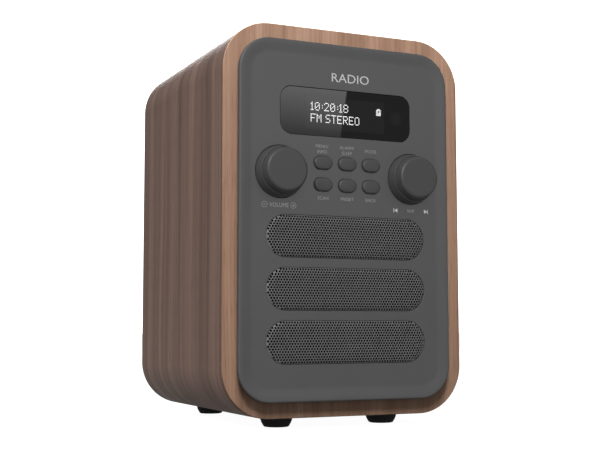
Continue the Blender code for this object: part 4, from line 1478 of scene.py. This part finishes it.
def cheek(loop: Loop, low: float, high: float, place: Matrix, bevel: float = 0.3) -> Mesh:
    """A flat piece drawn in the (y, z) plane, between two levels of x, with bevelled edges."""
    shell = Shell()
    shell.stack([(loop, low), (loop, high)])
    lay = Matrix(((0, 0, 1, 0), (1, 0, 0, 0), (0, 1, 0, 0), (0, 0, 0, 1)))
    return shell.mesh(place @ lay, bevel)


@dataclass
class Interior(Assembly):
    """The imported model's own pieces, which keep their shapes and get their finishes here."""

    cloth_flat: Point = (0.086, 0.068)

    def finishes(self) -> dict[Finish, tuple[str, ...]]:
        """Which nodes have each finish."""
        switches = tuple(f"{name}_switch" for name in Buttons.NAMES)
        housings = tuple(f"{name}_encoder_housing" for name in Knobs.NAMES)
        rotors = tuple(f"{name}_encoder_rotor" for name in Knobs.NAMES)
        shafts = tuple(f"{name}_shaft" for name in Knobs.NAMES)
        return {
            FIBREBOARD: ("front_baffle",),
            DISPLAY_GLASS: ("display_module", "remote_sensor"),
            BOARD_RESIST: ("front_board", "main_board"),
            DARK_PLASTIC: (*switches, *rotors, "aerial_lead"),
            PLATED_STEEL: (*housings, *shafts, "speaker_frame", "tuner_module", "power_socket"),
            DUST_CLOTH: ("dust_cloth",),
            CONE_PAPER: ("speaker_cone",),
            SURROUND_RUBBER: ("speaker_surround",),
            MAGNET_COAT: ("speaker_magnet",),
            BATTERY_WRAP: ("battery_pack",),
            WIRE_SLEEVING: ("speaker_lead",),
            RIBBON_SLEEVING: ("ribbon_cable",),
        }

    def dress(self, nodes: dict[str, Object]) -> None:
        """Gives each node its finish."""
        for finish, names in self.finishes().items():
            for name in names:
                data = nodes[name].data
                data.materials.clear()
                data.materials.append(finish.material())
                log.info("%s: dressed with %s", name, finish.name)


def screen(name: str, corners: Sequence[Sequence[float]]) -> tuple[Object, NodeSheet]:
    """A flat four-cornered thing that isn't the radio's, and the nodes of its own material."""
    mesh = bpy.data.meshes.new(name)
    mesh.from_pydata(corners, [], [(0, 1, 2, 3)])
    material = bpy.data.materials.new(f"{name}_surface")
    material.use_nodes = True
    mesh.materials.append(material)
    return placed(name, mesh), NodeSheet(material.node_tree)


Lamp = tuple[tuple[float, float, float], float, float]  # place, size and power


@dataclass
class Studio:
    """A pale floor, soft lights and the camera."""

    layout: Layout
    lens: float = 66.24
    # Left of, in front of and above the foot of the cabinet's front.
    stand: tuple[float, float, float] = (-219.8, 431.9, 38.93)
    yaw: float = 24.585
    pitch: float = 5.238
    roll: float = -0.083
    floor_seen: float = 0.97
    floor_mirrored: float = 0.2
    room: tuple[float, float, float] = (0.02, 0.08, 0.5)  # its light from below, from level and from overhead
    room_mirrored: float = 0.36
    card: tuple[float, float, float, float] = (-1.06, 0.1, 0.1, 0.65)  # its y, left edge, foot and top
    card_edge: tuple[float, float, float] = (0.5005, 0.3185, 0.157)  # x and height of a point on it, slope
    card_light: tuple[float, float, float, float] = (0.31, 0.39, 0.66, 3.25)  # two heights, light at each
    face_key: Lamp = ((-0.8, -1.2, 1.15), 1.0, 23.0)
    key: Lamp = ((-1.08, -1.02, 1.08), 1.0, 21.0)
    rim_key: Lamp = ((-0.12, -0.3, 1.15), 0.45, 42.0)
    fill: Lamp = ((-0.35, -1.3, 0.35), 0.8, 1.0)
    back_light: Lamp = ((0.5, 1.3, 0.7), 0.8, 14.0)

    def build(self) -> None:
        """Sets up everything that isn't the radio."""
        self.place_camera()
        self.place_floor()
        self.place_lights()
        self.place_card()

    def place_camera(self) -> None:
        """Stands the camera low, to the left of the radio."""
        data = bpy.data.cameras.new("camera")
        data.lens = self.lens
        data.clip_start = 0.01
        camera = placed("camera", data)
        x, away, up = self.stand
        camera.location = self.layout.face.at(x, up, away).translation
        yaw, pitch = math.radians(self.yaw), math.radians(self.pitch)
        ahead = Vector((math.sin(yaw) * math.cos(pitch), math.cos(yaw) * math.cos(pitch), math.sin(pitch)))
        turn = ahead.to_track_quat("-Z", "Y").to_matrix().to_4x4()
        turn = turn @ Matrix.Rotation(math.radians(self.roll), 4, "Z")
        camera.rotation_euler = turn.to_euler()
        bpy.context.scene.camera = camera

    def place_floor(self) -> None:
        """Lays a white floor under the feet, which lights the radio from below only a little."""
        half = 6.0
        corners = [(-half, -half, 0), (half, -half, 0), (half, half, 0), (-half, half, 0)]
        floor, sheet = screen("floor", corners)
        shader = sheet.tree.nodes["Principled BSDF"]
        sheet.feed(shader, {"Base Color": (0.25, 0.25, 0.25), "Roughness": 0.9})
        sheet.feed(shader, {"Specular IOR Level": 0.0, "Emission Color": (1.0, 1.0, 1.0)})
        path = sheet.node("ShaderNodeLightPath")
        seen = sheet.maths("MULTIPLY", path.outputs["Is Camera Ray"], self.floor_seen)
        mirrored = sheet.maths("MULTIPLY", path.outputs["Is Glossy Ray"], self.floor_mirrored)
        sheet.feed(shader, {"Emission Strength": sheet.maths("ADD", seen, mirrored)})

    def place_lights(self) -> None:
        """Hangs the soft lights and fills the room, bright overhead and dim below."""
        controls = [f"{name}_knob_moulding" for name in Knobs.NAMES]
        controls += [f"{name}_button_cap" for name in Buttons.NAMES]
        rim = ["front_facing_veneered"]
        face = ["front_panel_moulding", "panel_print", "heading_print", "skip_print"]
        face += [f"grille_{name}_perforated" for name in Grilles.NAMES]
        self.link(self.area("face_key", *self.face_key), face, True, controls)
        self.link(self.area("key", *self.key), [*face, *rim], False, [])
        self.link(self.area("rim_key", *self.rim_key), rim, True, controls)
        self.link(self.area("fill", *self.fill), rim, False, [])
        self.area("back_light", *self.back_light)
        world = bpy.data.worlds.new("room")
        bpy.context.scene.world = world
        world.use_nodes = True
        sheet = NodeSheet(world.node_tree)
        ground = world.node_tree.nodes["Background"]
        up = sheet.split(sheet.where("Generated"))[2]
        path = sheet.node("ShaderNodeLightPath")
        dim, level, bright = self.room
        lower = sheet.span(up, -0.05, 0.05, (dim, level))
        upper = sheet.span(up, 0.3, 1.0, (0.0, bright - level))
        mirrored = sheet.maths("MULTIPLY", path.outputs["Is Glossy Ray"], self.room_mirrored)
        seen = sheet.maths("MULTIPLY", path.outputs["Is Camera Ray"], 2.0)
        added = sheet.maths("ADD", mirrored, seen)
        strength = sheet.maths("MAXIMUM", sheet.maths("ADD", lower, upper), added)
        sheet.feed(ground, {"Color": (1.0, 1.0, 1.0), "Strength": strength})
        bpy.context.scene.view_settings.view_transform = "Standard"

    def area(
        self, name: str, place: tuple[float, float, float], size: float, power: float
    ) -> Object:
        """Hangs a square light that faces the radio, and returns it."""
        data = bpy.data.lights.new(name, "AREA")
        data.size = size
        data.energy = power
        light = placed(name, data)
        light.location = place
        toward = Vector((0.0, 0.0, 0.08)) - Vector(place)
        light.rotation_euler = toward.to_track_quat("-Z", "Y").to_euler()
        return light

    def link(
        self, light: Object, receivers: Sequence[str], lit: bool, spares: Sequence[str]
    ) -> None:
        """Says which pieces a light falls on, and which of them cast no shadow from it.

        Args:
            light: The light.
            receivers: The pieces that it falls on, or that it doesn't.
            lit: Whether it falls on the receivers alone, or on everything else.
            spares: The pieces that cast no shadow from it.
        """
        for use, names, state in (
            ("receiver_collection", receivers, "INCLUDE" if lit else "EXCLUDE"),
            ("blocker_collection", spares, "EXCLUDE"),
        ):
            if not names:
                continue
            chosen = bpy.data.collections.new(f"{light.name}_{use}")
            for name in names:
                chosen.objects.link(bpy.data.objects[name])
            setattr(light.light_linking, use, chosen)
            for entry in chosen.collection_objects:
                entry.light_linking.link_state = state

    def place_card(self) -> None:
        """Stands a graded white card where the window mirrors it. Only mirrored rays see it."""
        ahead, left, low, high = self.card
        edge, level, slope = self.card_edge
        lower, upper = [edge + (height - level) * slope for height in (low, high)]
        corners = [(left, ahead, low), (lower, ahead, low), (upper, ahead, high), (left, ahead, high)]
        card, sheet = screen("card", corners)
        nodes = sheet.tree.nodes
        nodes.remove(nodes["Principled BSDF"])
        under, over, dim, bright = self.card_light
        strength = sheet.span(sheet.split(sheet.where())[2], under, over, (dim, bright))
        light = sheet.node("ShaderNodeEmission", {"Strength": strength})
        sheet.feed(nodes["Material Output"], {"Surface": light.outputs[0]})
        card.visible_camera = False
        card.visible_diffuse = False
        card.visible_shadow = False


def main() -> None:
    """Builds the radio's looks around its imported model."""
    logging.basicConfig(level=logging.INFO, format="%(name)s %(message)s")
    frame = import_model()
    layout = Layout.from_frame()
    for kind in (Cabinet, FrontPanel, Display, Grilles, Knobs, Buttons, Feet, Back, Aerial, Studio):
        kind(layout).build()
    Interior(layout).dress(frame["nodes"])


if __name__ == "__main__":
    main()
